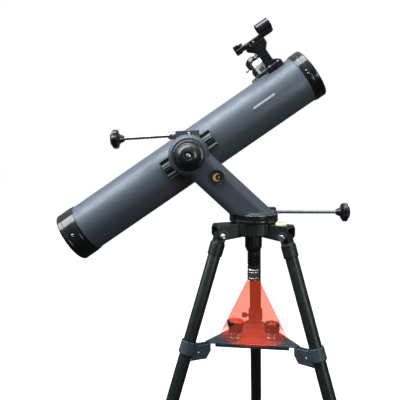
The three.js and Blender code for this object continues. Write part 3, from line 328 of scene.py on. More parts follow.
def vary_colour(made, source, light, start=0.3, end=0.7):
    """Mixes the base colour towards a second one where the source is high."""
    tree = made.node_tree
    shader = shader_of(made)
    mix = tree.nodes.new("ShaderNodeMix")
    mix.data_type = "RGBA"
    mix.inputs["A"].default_value = shader.inputs["Base Color"].default_value
    mix.inputs["B"].default_value = (*light, 1)
    tree.links.new(ramp(made, source, 0, 1, start, end), mix.inputs["Factor"])
    tree.links.new(mix.outputs["Result"], shader.inputs["Base Color"])


def vary_roughness(made, source, low, high):
    tree = made.node_tree
    tree.links.new(ramp(made, source, low, high), shader_of(made).inputs["Roughness"])


def bump(made, source, distance, strength=1.0):
    tree = made.node_tree
    node = tree.nodes.new("ShaderNodeBump")
    node.inputs["Strength"].default_value = strength
    node.inputs["Distance"].default_value = distance * MM
    tree.links.new(source, node.inputs["Height"])
    shader = shader_of(made)
    if shader.inputs["Normal"].links:
        tree.links.new(shader.inputs["Normal"].links[0].from_socket, node.inputs["Normal"])
    tree.links.new(node.outputs["Normal"], shader.inputs["Normal"])


def worn_edges(made, tone, amount=0.5):
    """A lighter tone along the outer edges, where handling polishes the coat."""
    tree = made.node_tree
    shader = shader_of(made)
    geometry = tree.nodes.new("ShaderNodeNewGeometry")
    mix = tree.nodes.new("ShaderNodeMix")
    mix.data_type = "RGBA"
    mix.inputs["B"].default_value = (*tone, 1)
    base = shader.inputs["Base Color"]
    if base.links:
        tree.links.new(base.links[0].from_socket, mix.inputs["A"])
    else:
        mix.inputs["A"].default_value = base.default_value
    tree.links.new(ramp(made, geometry.outputs["Pointiness"], 0, amount, 0.52, 0.62), mix.inputs["Factor"])
    tree.links.new(mix.outputs["Result"], base)


def enamel(name, dark, light):
    made = material(name, dark, 0.42, 0.2, Specular_IOR_Level=0.5)
    vary_colour(made, noise(made, 700, 2), light)
    vary_roughness(made, noise(made, 60, 5), 0.36, 0.5)
    bump(made, noise(made, 900, 3), 0.2, 0.4)
    bump(made, noise(made, 220, 2), 0.15, 0.2)
    return made


def gloss_black(name, sheen=0.14):
    made = material(name, (0.006, 0.0065, 0.007), sheen, 0.0, Coat_Weight=0.35, Coat_Roughness=0.4 * sheen)
    vary_colour(made, noise(made, 35, 4), (0.012, 0.013, 0.014))
    vary_roughness(made, noise(made, 90, 6), 0.7 * sheen, 1.4 * sheen)
    bump(made, noise(made, 130, 3), 0.05, 0.2)
    return made


def satin_black(name, grain=520, depth=0.18):
    made = material(name, (0.006, 0.0095, 0.0085), 0.36, 0.0)
    vary_colour(made, noise(made, 45, 5), (0.011, 0.016, 0.0145))
    vary_roughness(made, noise(made, 120, 5), 0.3, 0.46)
    bump(made, noise(made, grain, 3), depth, 0.5)
    return made


def slate(name, grain, metallic):
    made = material(name, (0.035, 0.046, 0.058), 0.42, metallic)
    vary_colour(made, noise(made, 60, 5), (0.055, 0.07, 0.086))
    vary_roughness(made, noise(made, 100, 4), 0.34, 0.5)
    bump(made, noise(made, grain, 3), 0.2, 0.4)
    return made


def bright_metal(name, colour, roughness, stretch, lines):
    made = material(name, colour, roughness, 1.0)
    turned = noise(made, lines, 3, stretch)
    vary_roughness(made, turned, roughness * 0.7, roughness * 1.5)
    vary_colour(made, noise(made, 50, 4), tuple(0.82 * c for c in colour))
    bump(made, turned, 0.02, 0.25)
    return made


def pale_metal(name):
    made = material(name, (0.62, 0.65, 0.68), 0.42, 0.3)
    vary_colour(made, noise(made, 250, 3), (0.5, 0.53, 0.57))
    vary_roughness(made, noise(made, 150, 4, (1, 1, 8)), 0.32, 0.5)
    bump(made, noise(made, 500, 2, (0.1, 1, 1)), 0.05, 0.3)
    return made


def rubber(name):
    made = material(name, (0.012, 0.012, 0.0125), 0.8)
    vary_colour(made, noise(made, 90, 5), (0.024, 0.024, 0.024))
    vary_roughness(made, noise(made, 200, 4), 0.7, 0.9)
    bump(made, noise(made, 700, 4), 0.3, 0.5)
    return made


def flocked(name):
    made = material(name, (0.006, 0.006, 0.006), 0.9)
    vary_colour(made, noise(made, 300, 4), (0.012, 0.012, 0.012))
    bump(made, noise(made, 1500, 2), 0.4, 0.6)
    return made


def clear_glass(name, tint):
    violet = (0.75, 0.6, 1, 1)
    made = material(name, tint, 0.03, 0.0, Transmission_Weight=0.9, Coat_Weight=0.6, Coat_Tint=violet)
    vary_colour(made, noise(made, 60, 3), tuple(0.9 * c for c in tint))
    vary_roughness(made, noise(made, 80, 4), 0.02, 0.06)
    return made


def silvered(name):
    made = material(name, (0.93, 0.94, 0.95), 0.03, 1.0)
    vary_colour(made, noise(made, 40, 5), (0.88, 0.89, 0.91))
    vary_roughness(made, noise(made, 120, 4), 0.015, 0.05)
    return made


def glowing(name, colour, roughness, strength):
    light = {"Emission_Color": (*colour, 1), "Emission_Strength": strength}
    made = material(name, colour, roughness, Coat_Weight=0.5, **light)
    vary_colour(made, noise(made, 120, 3), tuple(0.85 * c for c in colour))
    vary_roughness(made, noise(made, 150, 4), roughness * 0.6, roughness * 1.6)
    return made


LOOK = {
    "enamel": enamel("blue_grey_enamel", (0.072, 0.088, 0.108), (0.125, 0.148, 0.18)),
    "arm": enamel("blue_grey_casting", (0.052, 0.064, 0.077), (0.085, 0.102, 0.122)),
    "gloss": gloss_black("gloss_black_moulding"),
    "domed": gloss_black("half_gloss_black_moulding", 0.32),
    "satin": satin_black("satin_black_casting"),
    "powder": satin_black("satin_black_powder_coat", grain=850, depth=0.12),
    "moulded": satin_black("satin_black_moulding", grain=1100, depth=0.1),
    "slate": slate("slate_moulding", 1000, 0.0),
    "sheet": slate("slate_sheet_metal", 700, 0.3),
    "steel": bright_metal("turned_steel", (0.42, 0.44, 0.45), 0.26, (60, 1, 1), 40),
    "zinc": bright_metal("zinc_screw", (0.72, 0.73, 0.74), 0.2, (1, 1, 1), 600),
    "brass": bright_metal("cut_brass", (0.6, 0.44, 0.2), 0.3, (1, 1, 30), 60),
    "chrome": bright_metal("bright_chrome", (0.78, 0.79, 0.8), 0.09, (1, 1, 40), 30),
    "rubber": rubber("black_rubber"),
    "flock": flocked("flat_black_lining"),
    "glass": clear_glass("coated_lens", (0.75, 0.85, 0.9)),
    "mirror": silvered("silvered_glass"),
    # Painted glow: the level's liquid is lit from within, though it is no lamp.
    "vial": glowing("yellow_green_liquid", (0.8, 0.9, 0.42), 0.12, 0.4),
    "red": glowing("red_lens", (0.9, 0.08, 0.03), 0.2, 3.0),
    # Painted glow: the badge's orange inlay glows faintly, though it is no lamp.
    "orange": glowing("orange_inlay", (0.55, 0.27, 0.09), 0.35, 0.12),
    # Pale aluminium: the trim strips, and the painted highlights along the saddle's ribs.
    "pale": pale_metal("pale_aluminium_and_painted_highlights"),
}
worn_edges(LOOK["arm"], (0.16, 0.185, 0.215), 0.35)
worn_edges(LOOK["satin"], (0.05, 0.055, 0.055), 0.5)
worn_edges(LOOK["slate"], (0.11, 0.13, 0.15), 0.5)


def add_to(obj, node, look):
    """The piece moves with a node's body and takes its finish."""
    obj.data.materials.clear()
    obj.data.materials.append(LOOK[look])
    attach(obj, home[node])
    return obj


def stand_for(obj, node, look):
    add_to(obj, node, look)
    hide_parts(node)
    return obj


def keep(node, look):
    """A hidden or plain node that stays as it is, with a better material."""
    mesh = frame["nodes"][node].data
    mesh.materials.clear()
    mesh.materials.append(LOOK[look])


# ---------- Optical tube ----------
def make_tube():
    low, high = span("main_tube", OPTICS)
    outer = high.z
    wall = 1.6
    inner = outer - wall
    profile = [(inner, low.x), (outer, low.x), (outer, high.x), (inner, high.x), (inner, low.x)]
    tube = lathe("tube_shell", OPTICS, profile, axis="X", sides=FINE, soft=0.4)
    cutter = [(0, 20), (21, 20), (21, outer + 20), (0, outer + 20)]
    hole = lathe("focuser_hole_cutter", FOCUSER, cutter, soft=0)
    carve = tube.modifiers.new("hole", "BOOLEAN")
    carve.object = hole
    carve.solver = "EXACT"
    applied(tube)
    bpy.data.objects.remove(hole)
    shade(tube)
    stand_for(tube, "main_tube", "enamel")
    tube.data.materials.append(LOOK["flock"])
    for face in tube.data.polygons:
        middle = face.center
        if math.hypot(middle.y, middle.z) < (outer - wall / 2) * MM:
            face.material_index = 1


def make_rear_cell():
    low, high = span("rear_cell", OPTICS)
    tube_low, tube_high = span("main_tube", OPTICS)
    outer = high.z
    inner = tube_high.z + GAP
    back, front = low.x, high.x
    seat = tube_low.x - GAP
    profile = [
        (0, back + 9), (30, back + 9), (31, back + 7.5), (43, back + 7.5), (44, back + 9), (46, back + 9),
        (49, back), (outer - 1.5, back), (outer, back + 2), (outer, back + 9), (outer - 0.7, back + 10),
        (outer - 0.7, back + 11.5), (outer, back + 12.5), (outer, front - 8), (outer - 0.9, front - 6.5),
        (outer - 0.9, front), (inner, front), (inner, seat), (0, seat),
    ]
    stand_for(lathe("rear_cell_fine", OPTICS, profile, axis="X", sides=FINE, soft=0.7), "rear_cell", "gloss")
    rim = outer - 1.3
    sides = [around_x(front - 22, rim + 0.6, 4 + 120 * k) for k in range(3)]
    add_to(screws("rear_cell_screws", OPTICS, sides, 3.2, 1.6), "rear_cell", "zinc")
    push = []
    pull = []
    for k in range(3):
        push.append((around_x(back + 8, 37, 30 + 120 * k)[0], (-1, 0, 0)))
        pull.append((around_x(back + 8, 37, 50 + 120 * k)[0], (-1, 0, 0)))
    add_to(screws("collimation_lock_screws", OPTICS, pull, 3, 3), "rear_cell", "zinc")
    bm = bmesh.new()
    grip = [(0, -0.5), (5.5, -0.5), (5.5, 1), (6.5, 1.6), (6.5, 5.4), (5.6, 6.4), (0, 6.4)]
    for position, direction in push:
        lathe_into(bm, grip, sides=48, soft=0.4, at=pointing(position, direction), wave=knurl(12, 0.5, 6))
    add_to(new_object("collimation_knobs", bm, OPTICS), "rear_cell", "gloss")


def knurl(count, depth, above=0.0):
    """A wave that cuts grooves round a grip wherever its radius is above a size."""
    def wave(r, h, angle):
        return r - depth * (0.5 - 0.5 * math.cos(count * angle)) ** 2 if r > above else r
    return wave


def make_front_ring():
    low, high = span("front_ring", OPTICS)
    tube_high = span("main_tube", OPTICS)[1]
    outer = high.z
    inner = tube_high.z + GAP
    rear, front = low.x, high.x
    stop = tube_high.x + GAP
    profile = [
        (inner, rear), (outer - 1, rear), (outer - 1, rear + 4), (outer, rear + 5), (outer, rear + 13),
        (outer - 0.6, rear + 14), (outer - 0.6, rear + 15.2), (outer, rear + 16.2), (outer, front - 2.5),
        (outer - 2, front), (54.2, front), (53, front - 2), (53, stop), (inner, stop), (inner, rear),
    ]
    ring = lathe("front_ring_fine", OPTICS, profile, axis="X", sides=FINE, soft=0.7)
    stand_for(ring, "front_ring", "gloss")
    spots = []
    for k in range(3):
        for offset in (-4, 4):
            spots.append(around_x(rear + 9.5, outer - 0.8, 7 + offset + 120 * k))
    add_to(screws("front_ring_screws", OPTICS, spots, 1.9, 1.3), "front_ring", "zinc")


def make_mirrors():
    low, high = span("primary_mirror", OPTICS)
    radius = high.z
    dish = 2.3
    steps = 10
    face = [(radius * (1 - k / steps), high.x - dish * (1 - (1 - k / steps) ** 2)) for k in range(steps + 1)]
    profile = [(0, low.x), (radius, low.x)] + face
    mirror = lathe("primary_mirror_fine", OPTICS, profile, axis="X", sides=FINE, soft=0.3)
    stand_for(mirror, "primary_mirror", "mirror")
    keep("secondary_mirror", "mirror")
    web = crisp("spider", FOCUSER, 0.25)
    stand_for(web, "spider", "flock")
    hub_end = span("spider", OPTICS)[1].x
    spots = []
    for k in range(3):
        spots.append((around_x(hub_end - 0.2, 8, 120 * k)[0], (1, 0, 0)))
    add_to(screws("spider_screws", OPTICS, spots, 2, 1.6), "spider", "zinc")


def make_trim_strip():
    """A plain silver strip on the side of the tube, in place of its lettering."""
    outer = span("main_tube", OPTICS)[1].z
    start, end, middle, half = 176, 233, 8.0, 2.4
    bm = bmesh.new()
    for x in np.linspace(start, end, 9):
        for degrees in np.linspace(middle - half, middle + half, 5):
            for lift in (0.05, 0.35):
                bm.verts.new(around_x(x, outer + lift, degrees)[0] * MM)
    bmesh.ops.convex_hull(bm, input=bm.verts)
    add_to(new_object("side_trim_strip", bm, OPTICS), "main_tube", "pale")


# ---------- Focuser and finder ----------
def make_focuser():
    body = cast("focuser_body", FOCUSER, 0.8, 5)
    stand_for(body, "focuser_body", "gloss")
    top = span("focuser_drawtube", FOCUSER)[1].z
    draw = cast("focuser_drawtube", FOCUSER, 0.55, 2)
    stand_for(draw, "focuser_drawtube", "chrome")
    collar = lathe("focuser_collar", FOCUSER, [
        (17.9, top - 13.8), (21.4, top - 13.8), (22.2, top - 12.5), (22.2, top - 2), (21.2, top - 0.2),
        (16.4, top - 0.2), (16.4, top - 1), (17.9, top - 2.5), (17.9, top - 13.8),
    ], sides=96, soft=0.4, wave=knurl(48, 0.35, 21))
    add_to(collar, "focuser_drawtube", "gloss")
    bm = bmesh.new()
    for degrees in (150, 270):
        angle = math.radians(degrees)
        out = Vector((math.cos(angle), math.sin(angle), 0))
        post = out * 21.5 + Vector((0, 0, top - 7.5))
        profile = [(0, 0), (1.6, 0), (1.6, 5), (3.6, 5.6), (3.6, 10.4), (3, 11), (0, 11)]
        lathe_into(bm, profile, sides=36, soft=0.3, at=pointing(post, out), wave=knurl(18, 0.3, 3.2))
    add_to(new_object("focuser_thumbscrews", bm, FOCUSER), "focuser_drawtube", "zinc")
    pinion_low, pinion_high = span("focuser_pinion", FOCUSER)
    middle = (pinion_low + pinion_high) / 2
    place = FOCUSER @ Matrix.Translation(Vector((0, middle.y, middle.z)) * MM)
    stand_for(copy_of("focuser_pinion", "focuser_pinion_gear", place), "focuser_pinion", "steel")
    bm = bmesh.new()
    reach = pinion_high.x
    for side in (-1, 1):
        profile = [
            (3.2, side * 15.6), (7.6, side * 15.6), (8.2, side * 17.6), (12, side * 18.8), (12.3, side * 20),
            (12.3, side * 28.4), (11.6, side * 29.6), (9, side * (reach + 0.2)), (0, side * (reach + 0.5)),
        ]
        lathe_into(bm, profile, axis="X", sides=120, soft=0.5, wave=knurl(30, 0.6, 11.8))
    add_to(new_object("focus_knobs_fine", bm, place), "focuser_pinion", "gloss")


def make_finder():
    stand_for(cast("finder_bracket", FINDER, 0.7, 4), "finder_bracket", "gloss")
    body = cast("finder_body", FINDER, 0.6, 3)
    stand_for(body, "finder_body", "gloss")
    low, high = span("finder_lens", FINDER)
    lens_radius = high.y
    sight = (low.z + high.z) / 2
    line = FINDER @ Matrix.Translation(Vector((0, 0, sight)) * MM)
    profile = [(0, low.x - 0.2), (lens_radius * 0.6, low.x + 0.6), (lens_radius, high.x - 1.6),
               (lens_radius, high.x), (0, high.x)]
    lens = lathe("finder_lens_fine", line, profile, axis="X", sides=ROUND, soft=0.3)
    stand_for(lens, "finder_lens", "glass")
    body_low = span("finder_body", FINDER)[0]
    rail_top = sight - 9.5
    bm = bmesh.new()
    knob = [(0, -1), (2.2, -1), (2.2, 2), (5, 2.4), (5.2, 3.4), (5.2, 7), (4.6, 7.8), (0, 8)]
    post = Vector((body_low.x + 30, -9, rail_top - 5))
    lathe_into(bm, knob, sides=48, soft=0.3, at=pointing(post, (0, -1, 0)), wave=knurl(16, 0.4, 4.8))
    dial = Vector((body_low.x + 17, 0, rail_top))
    lathe_into(bm, knob, sides=48, soft=0.3, at=pointing(dial, (0, 0, 1)), wave=knurl(16, 0.4, 4.8))
    add_to(new_object("finder_dials", bm, FINDER), "finder_body", "gloss")
    bracket_low, bracket_high = span("finder_bracket", FINDER)
    foot = 13.4
    base_z = bracket_low.z + 14
    places = [
        (bracket_high.x - 9, -foot, base_z), (bracket_low.x + 22, -foot, base_z),
        (body_low.x + 5, -7.6, sight - 18), (body_low.x + 45, -8.6, rail_top - 5),
    ]
    spots = [(position, (0, -1, 0)) for position in places]
    add_to(screws("finder_screws", FINDER, spots, 2.2, 1.4), "finder_bracket", "zinc")


# ---------- Mount ----------
KNOB_LOBES = 7


def make_saddle():
    stand_for(cast("saddle_plate", HEAD, 0.7, 2), "saddle_plate", "satin")
    low, high = span("saddle_plate", HEAD)
    front = low.y
    bm = bmesh.new()
    # Pale strips along the extruded ribs' rounded crests: painted highlights, where the crests catch the light.
    for z, width in ((23.1, 0.7), (12.2, 2.4), (6.5, 1.2), (-10.9, 0.6), (-13.2, 0.6)):
        for half in (-1, 1):
            start, end = sorted((half * 40, half * (high.x - 1)))
            box_into(bm, (start, front - 0.15, z - width), (end, front + 0.4, z + width))
    add_to(new_object("saddle_painted_highlights", bm, HEAD), "saddle_plate", "pale")
    keep("altitude_wheel", "brass")
    keep("altitude_shaft", "steel")


def box_into(bm, low, high):
    verts = []
    for x in (low[0], high[0]):
        for y in (low[1], high[1]):
            for z in (low[2], high[2]):
                verts.append(bm.verts.new(Vector((x, y, z)) * MM))
    bmesh.ops.convex_hull(bm, input=verts)


def make_arm():
    stand_for(cast("arm", HEAD_LEVEL, 1.1, 8), "arm", "arm")
    front = span("arm", HEAD_LEVEL)[0].y
    foot = Vector(MOUNT.translation - HEAD_LEVEL.translation) / MM
    foot_plate = 50
    lean = Vector((foot.x, 0, foot.z + foot_plate)).normalized()
    badge_reach = 79
    badge_at = lean * badge_reach + Vector((0.7, front + 0.3, 5.8))
    place = HEAD_LEVEL @ frame_at(badge_at * MM, (1, 0, 0), z=(0, -1, 0))
    rim = [(0, 1.2), (14.6, 1.2), (15.2, 1.7), (16.2, 1.5), (16.6, 0), (0, 0)]
    disc = lathe("badge_disc", place, rim, soft=0.3)
    add_to(disc, "arm", "satin")
    bm = bmesh.new()
    outline = []
    for k in range(25):
        angle = math.radians(40 + 280 * k / 24)
        outline.append((8.6 * math.cos(angle), 8.6 * math.sin(angle)))
    for k in range(25):
        angle = math.radians(-52 - 256 * k / 24)
        outline.append((3.2 + 6.3 * math.cos(angle), 6.3 * math.sin(angle)))
    face = bm.faces.new([bm.verts.new(Vector((x, y, 1.2)) * MM) for x, y in outline])
    raised = bmesh.ops.extrude_face_region(bm, geom=[face])["geom"]
    for vert in raised:
        if isinstance(vert, bmesh.types.BMVert):
            vert.co.z += 0.5 * MM
    lathe_into(bm, [(0, 1.2), (1.8, 1.2), (1.6, 1.8), (0, 1.8)], sides=24, soft=0.1,
               at=Matrix.Translation(Vector((4.4, 0, 0)) * MM))
    add_to(new_object("badge_crescent", bm, place), "arm", "orange")
    worm = HEAD_LEVEL.inverted() @ ALTITUDE_ROD.translation / MM
    housing_depth = 11.65
    housing_front = worm.y - housing_depth
    at_screw = HEAD_LEVEL @ pointing((worm.x + 3, housing_front, worm.z + 2.6), (0, -1, 0))
    ring = [(0, -1), (5.4, -1), (5.4, 0.5), (4.8, 0.8), (0, 0.8)]
    washer = lathe("worm_housing_washer", at_screw, ring, soft=0.2)
    add_to(washer, "arm", "moulded")
    add_to(screws("worm_housing_screw", at_screw, [((0, 0, 0.8), (0, 0, 1))], 3.4, 1.8), "arm", "zinc")
    spots = []
    for x, y in ((46, -24), (-40, -26)):
        spots.append(((foot.x + x, foot.y + y, foot.z + foot_plate), (0, 0, 1)))
    add_to(screws("arm_foot_screws", HEAD_LEVEL, spots, 3.6, 2.2), "arm", "moulded")


def make_turntable():
    stand_for(cast("turntable", MOUNT, 0.9, 3), "turntable", "gloss")
    low, high = span("base_ring", MOUNT)
    radius = high.x
    bottom = low.z
    table_low = span("turntable", MOUNT)[0].z
    top = table_low - GAP
    base = crisp("base_ring", MOUNT, 0.6)
    stand_for(base, "base_ring", "satin")
    band = lathe("base_band", MOUNT, [
        (radius - 3, bottom + 1.2), (radius + 0.1, bottom + 1.2), (radius + 0.1, top - 0.8),
        (radius - 3, top - 0.8), (radius - 3, bottom + 1.2),
    ], sides=180, soft=0.3, wave=knurl(60, 0.25, radius - 1))
    add_to(band, "base_ring", "gloss")
    edge = table_low + 11.2
    trim = lathe("turntable_trim", MOUNT, [
        (radius - 2, edge - 0.5), (radius + 0.35, edge - 0.5), (radius + 0.35, edge + 0.5),
        (radius - 2, edge + 0.5), (radius - 2, edge - 0.5),
    ], sides=180, soft=0.2)
    add_to(trim, "turntable", "pale")
    keep("azimuth_wheel", "brass")
    keep("azimuth_bolt", "steel")


def make_lock_knob():
    low, high = span("altitude_lock_knob", HEAD_LEVEL)
    front, back = low.y, high.y
    radius = high.x
    dome = [
        (0, front + 5.6), (5.6, front + 5.4), (7.2, front + 3.4), (8.4, front + 0.8), (10, front + 0.3),
        (13, front + 0.9), (18, front + 2.9), (22.5, front + 6.2), (25.6, front + 10.5), (26.6, front + 14.2),
        (29, front + 15), (radius - 1.8, front + 16), (radius, front + 18.2), (radius, back - 2.4),
        (radius - 2.6, back), (10, back), (10, back - 13.4), (0, back - 13.4),
    ]
    grip = knurl(24, 0.45, 29.5)
    knob = lathe("lock_knob_dome", HEAD_LEVEL, dome, axis="Y", sides=FINE, soft=1.0, wave=grip)
    stand_for(knob, "altitude_lock_knob", "domed")
    # A bright zinc cap at the dome's centre, drawn as wide as the reflection in the dish there: partly a cap,
    # partly a painted reflection.
    reflection_cap_profile = [
        (0, front + 0.8), (3, front + 1.1), (5.2, front + 2.2), (6, front + 3.6),
        (6, front + 6), (0, front + 6),
    ]
    cap = lathe("lock_knob_cap_with_painted_reflection", HEAD_LEVEL, reflection_cap_profile, axis="Y", sides=SMALL, soft=0.4)
    add_to(cap, "altitude_lock_knob", "zinc")


def thread(pitch, inner, outer, facing):
    """The radius of a worm's thread round and along it."""
    def wave(r, h, angle):
        if not inner - 1e-6 <= r <= inner + 1e-6:
            return r
        turn = angle / (2 * math.pi)
        along = h / pitch - turn + facing
        share = 2 * abs(along - round(along))
        rise = min(max((0.57 - share) / (0.57 - 0.25), 0), 1)
        return inner + rise * (outer - inner)
    return wave


def make_rod(node, knob_node, place, facing, coupled):
    pitch, turns, inner, outer = math.pi * 1.5, 4, 4.5, 7.15
    low, high = span(node, place)
    rod = 3.6
    half = pitch * turns / 2
    steps = 96
    profile = [(0, low.x), (rod, low.x), (rod, -half)]
    profile += [(inner, -half + 2 * half * k / steps) for k in range(steps + 1)]
    profile += [(rod, half)]
    if coupled:
        start = coupled
        sleeve = high.z if high.z > 8 else 8.6
        profile += [
            (rod, start), (sleeve - 1, start), (sleeve, start + 1), (sleeve, start + 5),
            (sleeve - 0.8, start + 6), (sleeve - 0.8, start + 7), (sleeve, start + 8), (sleeve, start + 13),
            (sleeve - 2.6, start + 16.6), (rod, start + 17),
        ]
    profile += [(rod, high.x), (0, high.x)]
    worm = thread(pitch, inner, outer, facing)
    bar = lathe(f"{node}_fine", place, profile, axis="X", sides=48, soft=0, wave=worm)
    stand_for(bar, node, "steel")
    if coupled:
        set_in = [((coupled + 11, -sleeve + 0.4, 0), (0, -1, 0))]
        add_to(screws(f"{node}_set_screw", place, set_in, 1.8, 0.9), node, "zinc")
    make_rod_knob(knob_node, place)


def make_rod_knob(node, place):
    low, high = span(node, place)
    radius = high.z
    end = high.x
    face = end - 5
    back = face - 13
    bore = 3.9
    profile = [
        (bore, low.x), (6, low.x), (6.6, low.x + 0.8), (8, low.x + 4), (10.2, back - 4), (14.4, back - 0.4),
        (radius - 2.6, back), (radius, back + 2.4), (radius, face - 2.4), (radius - 2, face - 0.2),
        (radius - 5.4, face - 0.6), (radius - 9, end - 1), (8, end - 0.4), (0, end),
        (0, face - 4.5), (bore, face - 4.5), (bore, low.x),
    ]
    lobes = knob_wave(radius)
    bm = bmesh.new()
    lathe_into(bm, profile, axis="X", sides=140, soft=0.6, wave=lobes)
    stand_for(new_object(f"{node}_fine", bm, place), node, "gloss")


def knob_wave(radius):
    def wave(r, h, angle):
        share = max(0.0, (r - 0.6 * radius) / (0.4 * radius))
        return r - 1.7 * share * (0.5 - 0.5 * math.cos(KNOB_LOBES * angle))
    return wave


# ---------- Tripod ----------
def make_hub():
    stand_for(cast("tripod_hub", TRIPOD, 0.9, 4), "tripod_hub", "satin")
    low, high = span("bubble_level", TRIPOD)
    middle = (low + high) / 2
    radius = (high.x - low.x) / 2
    place = TRIPOD @ Matrix.Translation(Vector((middle.x, middle.y, 0)) * MM)
    vial = [
        (0, low.z), (radius, low.z), (radius, high.z - 1), (radius - 2, high.z),
        (radius - 4, high.z + 0.3), (0, high.z + 0.5),
    ]
    stand_for(lathe("level_vial", place, vial, sides=ROUND, soft=0.4), "bubble_level", "vial")
    rings = bmesh.new()
    lathe_into(rings, [(4.6, high.z + 0.3), (5.1, high.z + 0.3), (5.1, high.z + 0.7), (4.6, high.z + 0.7),
                       (4.6, high.z + 0.3)], sides=ROUND, soft=0.1)
    add_to(new_object("level_ring", rings, place), "bubble_level", "moulded")
    for number in (1, 2, 3):
        node = f"leg_{number}_pivot_bolt"
        leg = leg_frame(number)
        bolt_low, bolt_high = span(node, leg)
        left, right = bolt_low.y, bolt_high.y
        bm = bmesh.new()
        rod = 4
        head = 7.5
        profile = [
            (0, left), (head - 1.2, left), (head - 0.2, left + 1), (head - 0.2, left + 3.9),
            (rod, left + 3.9), (rod, right - 3.9), (head, right - 3.9), (head, right - 2.4),
            (head * 0.8, right - 0.7), (head * 0.45, right), (head * 0.4, right - 1.8), (0, right - 1.8),
        ]
        lathe_into(bm, profile, axis="Y", sides=48, soft=0.35)
        stand_for(new_object(f"{node}_fine", bm, leg), node, "zinc")
        make_bracket_arch(number, leg, right - 3.9)


def make_bracket_arch(number, leg, face):
    """A raised arch over the pivot bolt on both sides of the bracket."""
    bm = bmesh.new()
    for side in (-1, 1):
        for k in range(24):
            verts = []
            for step in (k, k + 1):
                angle = math.radians(8 + 164 * step / 24)
                for radius in (11.2, 12.4):
                    for y in (face - 0.5, face + 0.35):
                        verts.append(bm.verts.new(Vector((radius * math.cos(angle), side * y,
                                                          radius * math.sin(angle))) * MM))
            bmesh.ops.convex_hull(bm, input=verts)
    add_to(new_object(f"bracket_{number}_arches", bm, leg), "tripod_hub", "slate")


def make_lamp():
    low, high = span("lamp_socket", TRIPOD)
    radius = high.x
    socket = [
        (0, low.z), (14.3, low.z), (15.2, low.z + 0.8), (radius - 0.6, low.z + 9), (radius, low.z + 11),
        (radius, high.z - 4), (radius - 2, high.z), (6.3, high.z), (6.3, high.z - 22), (0, high.z - 22),
    ]
    ribs = knurl(16, 0.7, radius - 1.5)
    holder = lathe("lamp_socket_fine", TRIPOD, socket, sides=160, soft=0.6, wave=ribs)
    stand_for(holder, "lamp_socket", "moulded")
    low, high = span("lamp_barrel", TRIPOD)
    radius = high.x
    barrel = [
        (radius - 2, low.z), (radius, low.z), (radius, low.z + 3.6), (radius - 1.1, low.z + 4.6),
        (radius - 1.1, low.z + 8), (radius, low.z + 9), (radius, high.z - 3), (radius - 2, high.z),
        (0, high.z), (0, high.z - 3), (radius - 2, high.z - 3), (radius - 2, low.z),
    ]
    stand_for(lathe("lamp_barrel_fine", TRIPOD, barrel, sides=96, soft=0.4), "lamp_barrel", "gloss")
    low, high = span("lamp_head", TRIPOD)
    head = [
        (radius - 2, low.z), (radius - 0.6, low.z), (radius, low.z + 0.8), (radius, low.z + 5),
        (radius - 0.7, low.z + 5.8), (radius - 0.7, low.z + 7), (radius, low.z + 7.8), (radius, high.z - 8),
        (radius - 0.7, high.z - 7.2), (radius - 0.7, high.z - 6), (radius, high.z - 5.2),
        (radius, high.z - 3), (radius - 2, high.z), (0, high.z), (0, low.z + 12),
        (radius - 2, low.z + 12), (radius - 2, low.z),
    ]
    grip = knurl(40, 0.3, radius - 0.2)
    bezel = lathe("lamp_head_fine", TRIPOD, head, sides=160, soft=0.35, wave=grip)
    stand_for(bezel, "lamp_head", "chrome")
    low, high = span("lamp_lens", TRIPOD)
    edge = high.x
    lens = [
        (0, low.z), (edge * 0.5, low.z + 0.6), (edge * 0.85, low.z + 1.8), (edge, low.z + 3),
        (edge, high.z), (0, high.z),
    ]
    stand_for(lathe("lamp_lens_fine", TRIPOD, lens, sides=ROUND, soft=0.3), "lamp_lens", "red")


def make_tray():
    stand_for(crisp("tray", TRIPOD, 0.5), "tray", "sheet")
    level = span("tray", TRIPOD)[1].z
    bm = bmesh.new()
    radius = 25
    # A pressed ring in the middle of the tray.
    ring = [
        (radius, level - 0.6), (radius + 1.4, level + 0.5), (radius + 2.8, level - 0.6),
        (radius, level - 0.6),
    ]
    lathe_into(bm, ring, sides=96, soft=0.3)
    add_to(new_object("tray_pressed_ring", bm, TRIPOD), "tray", "sheet")


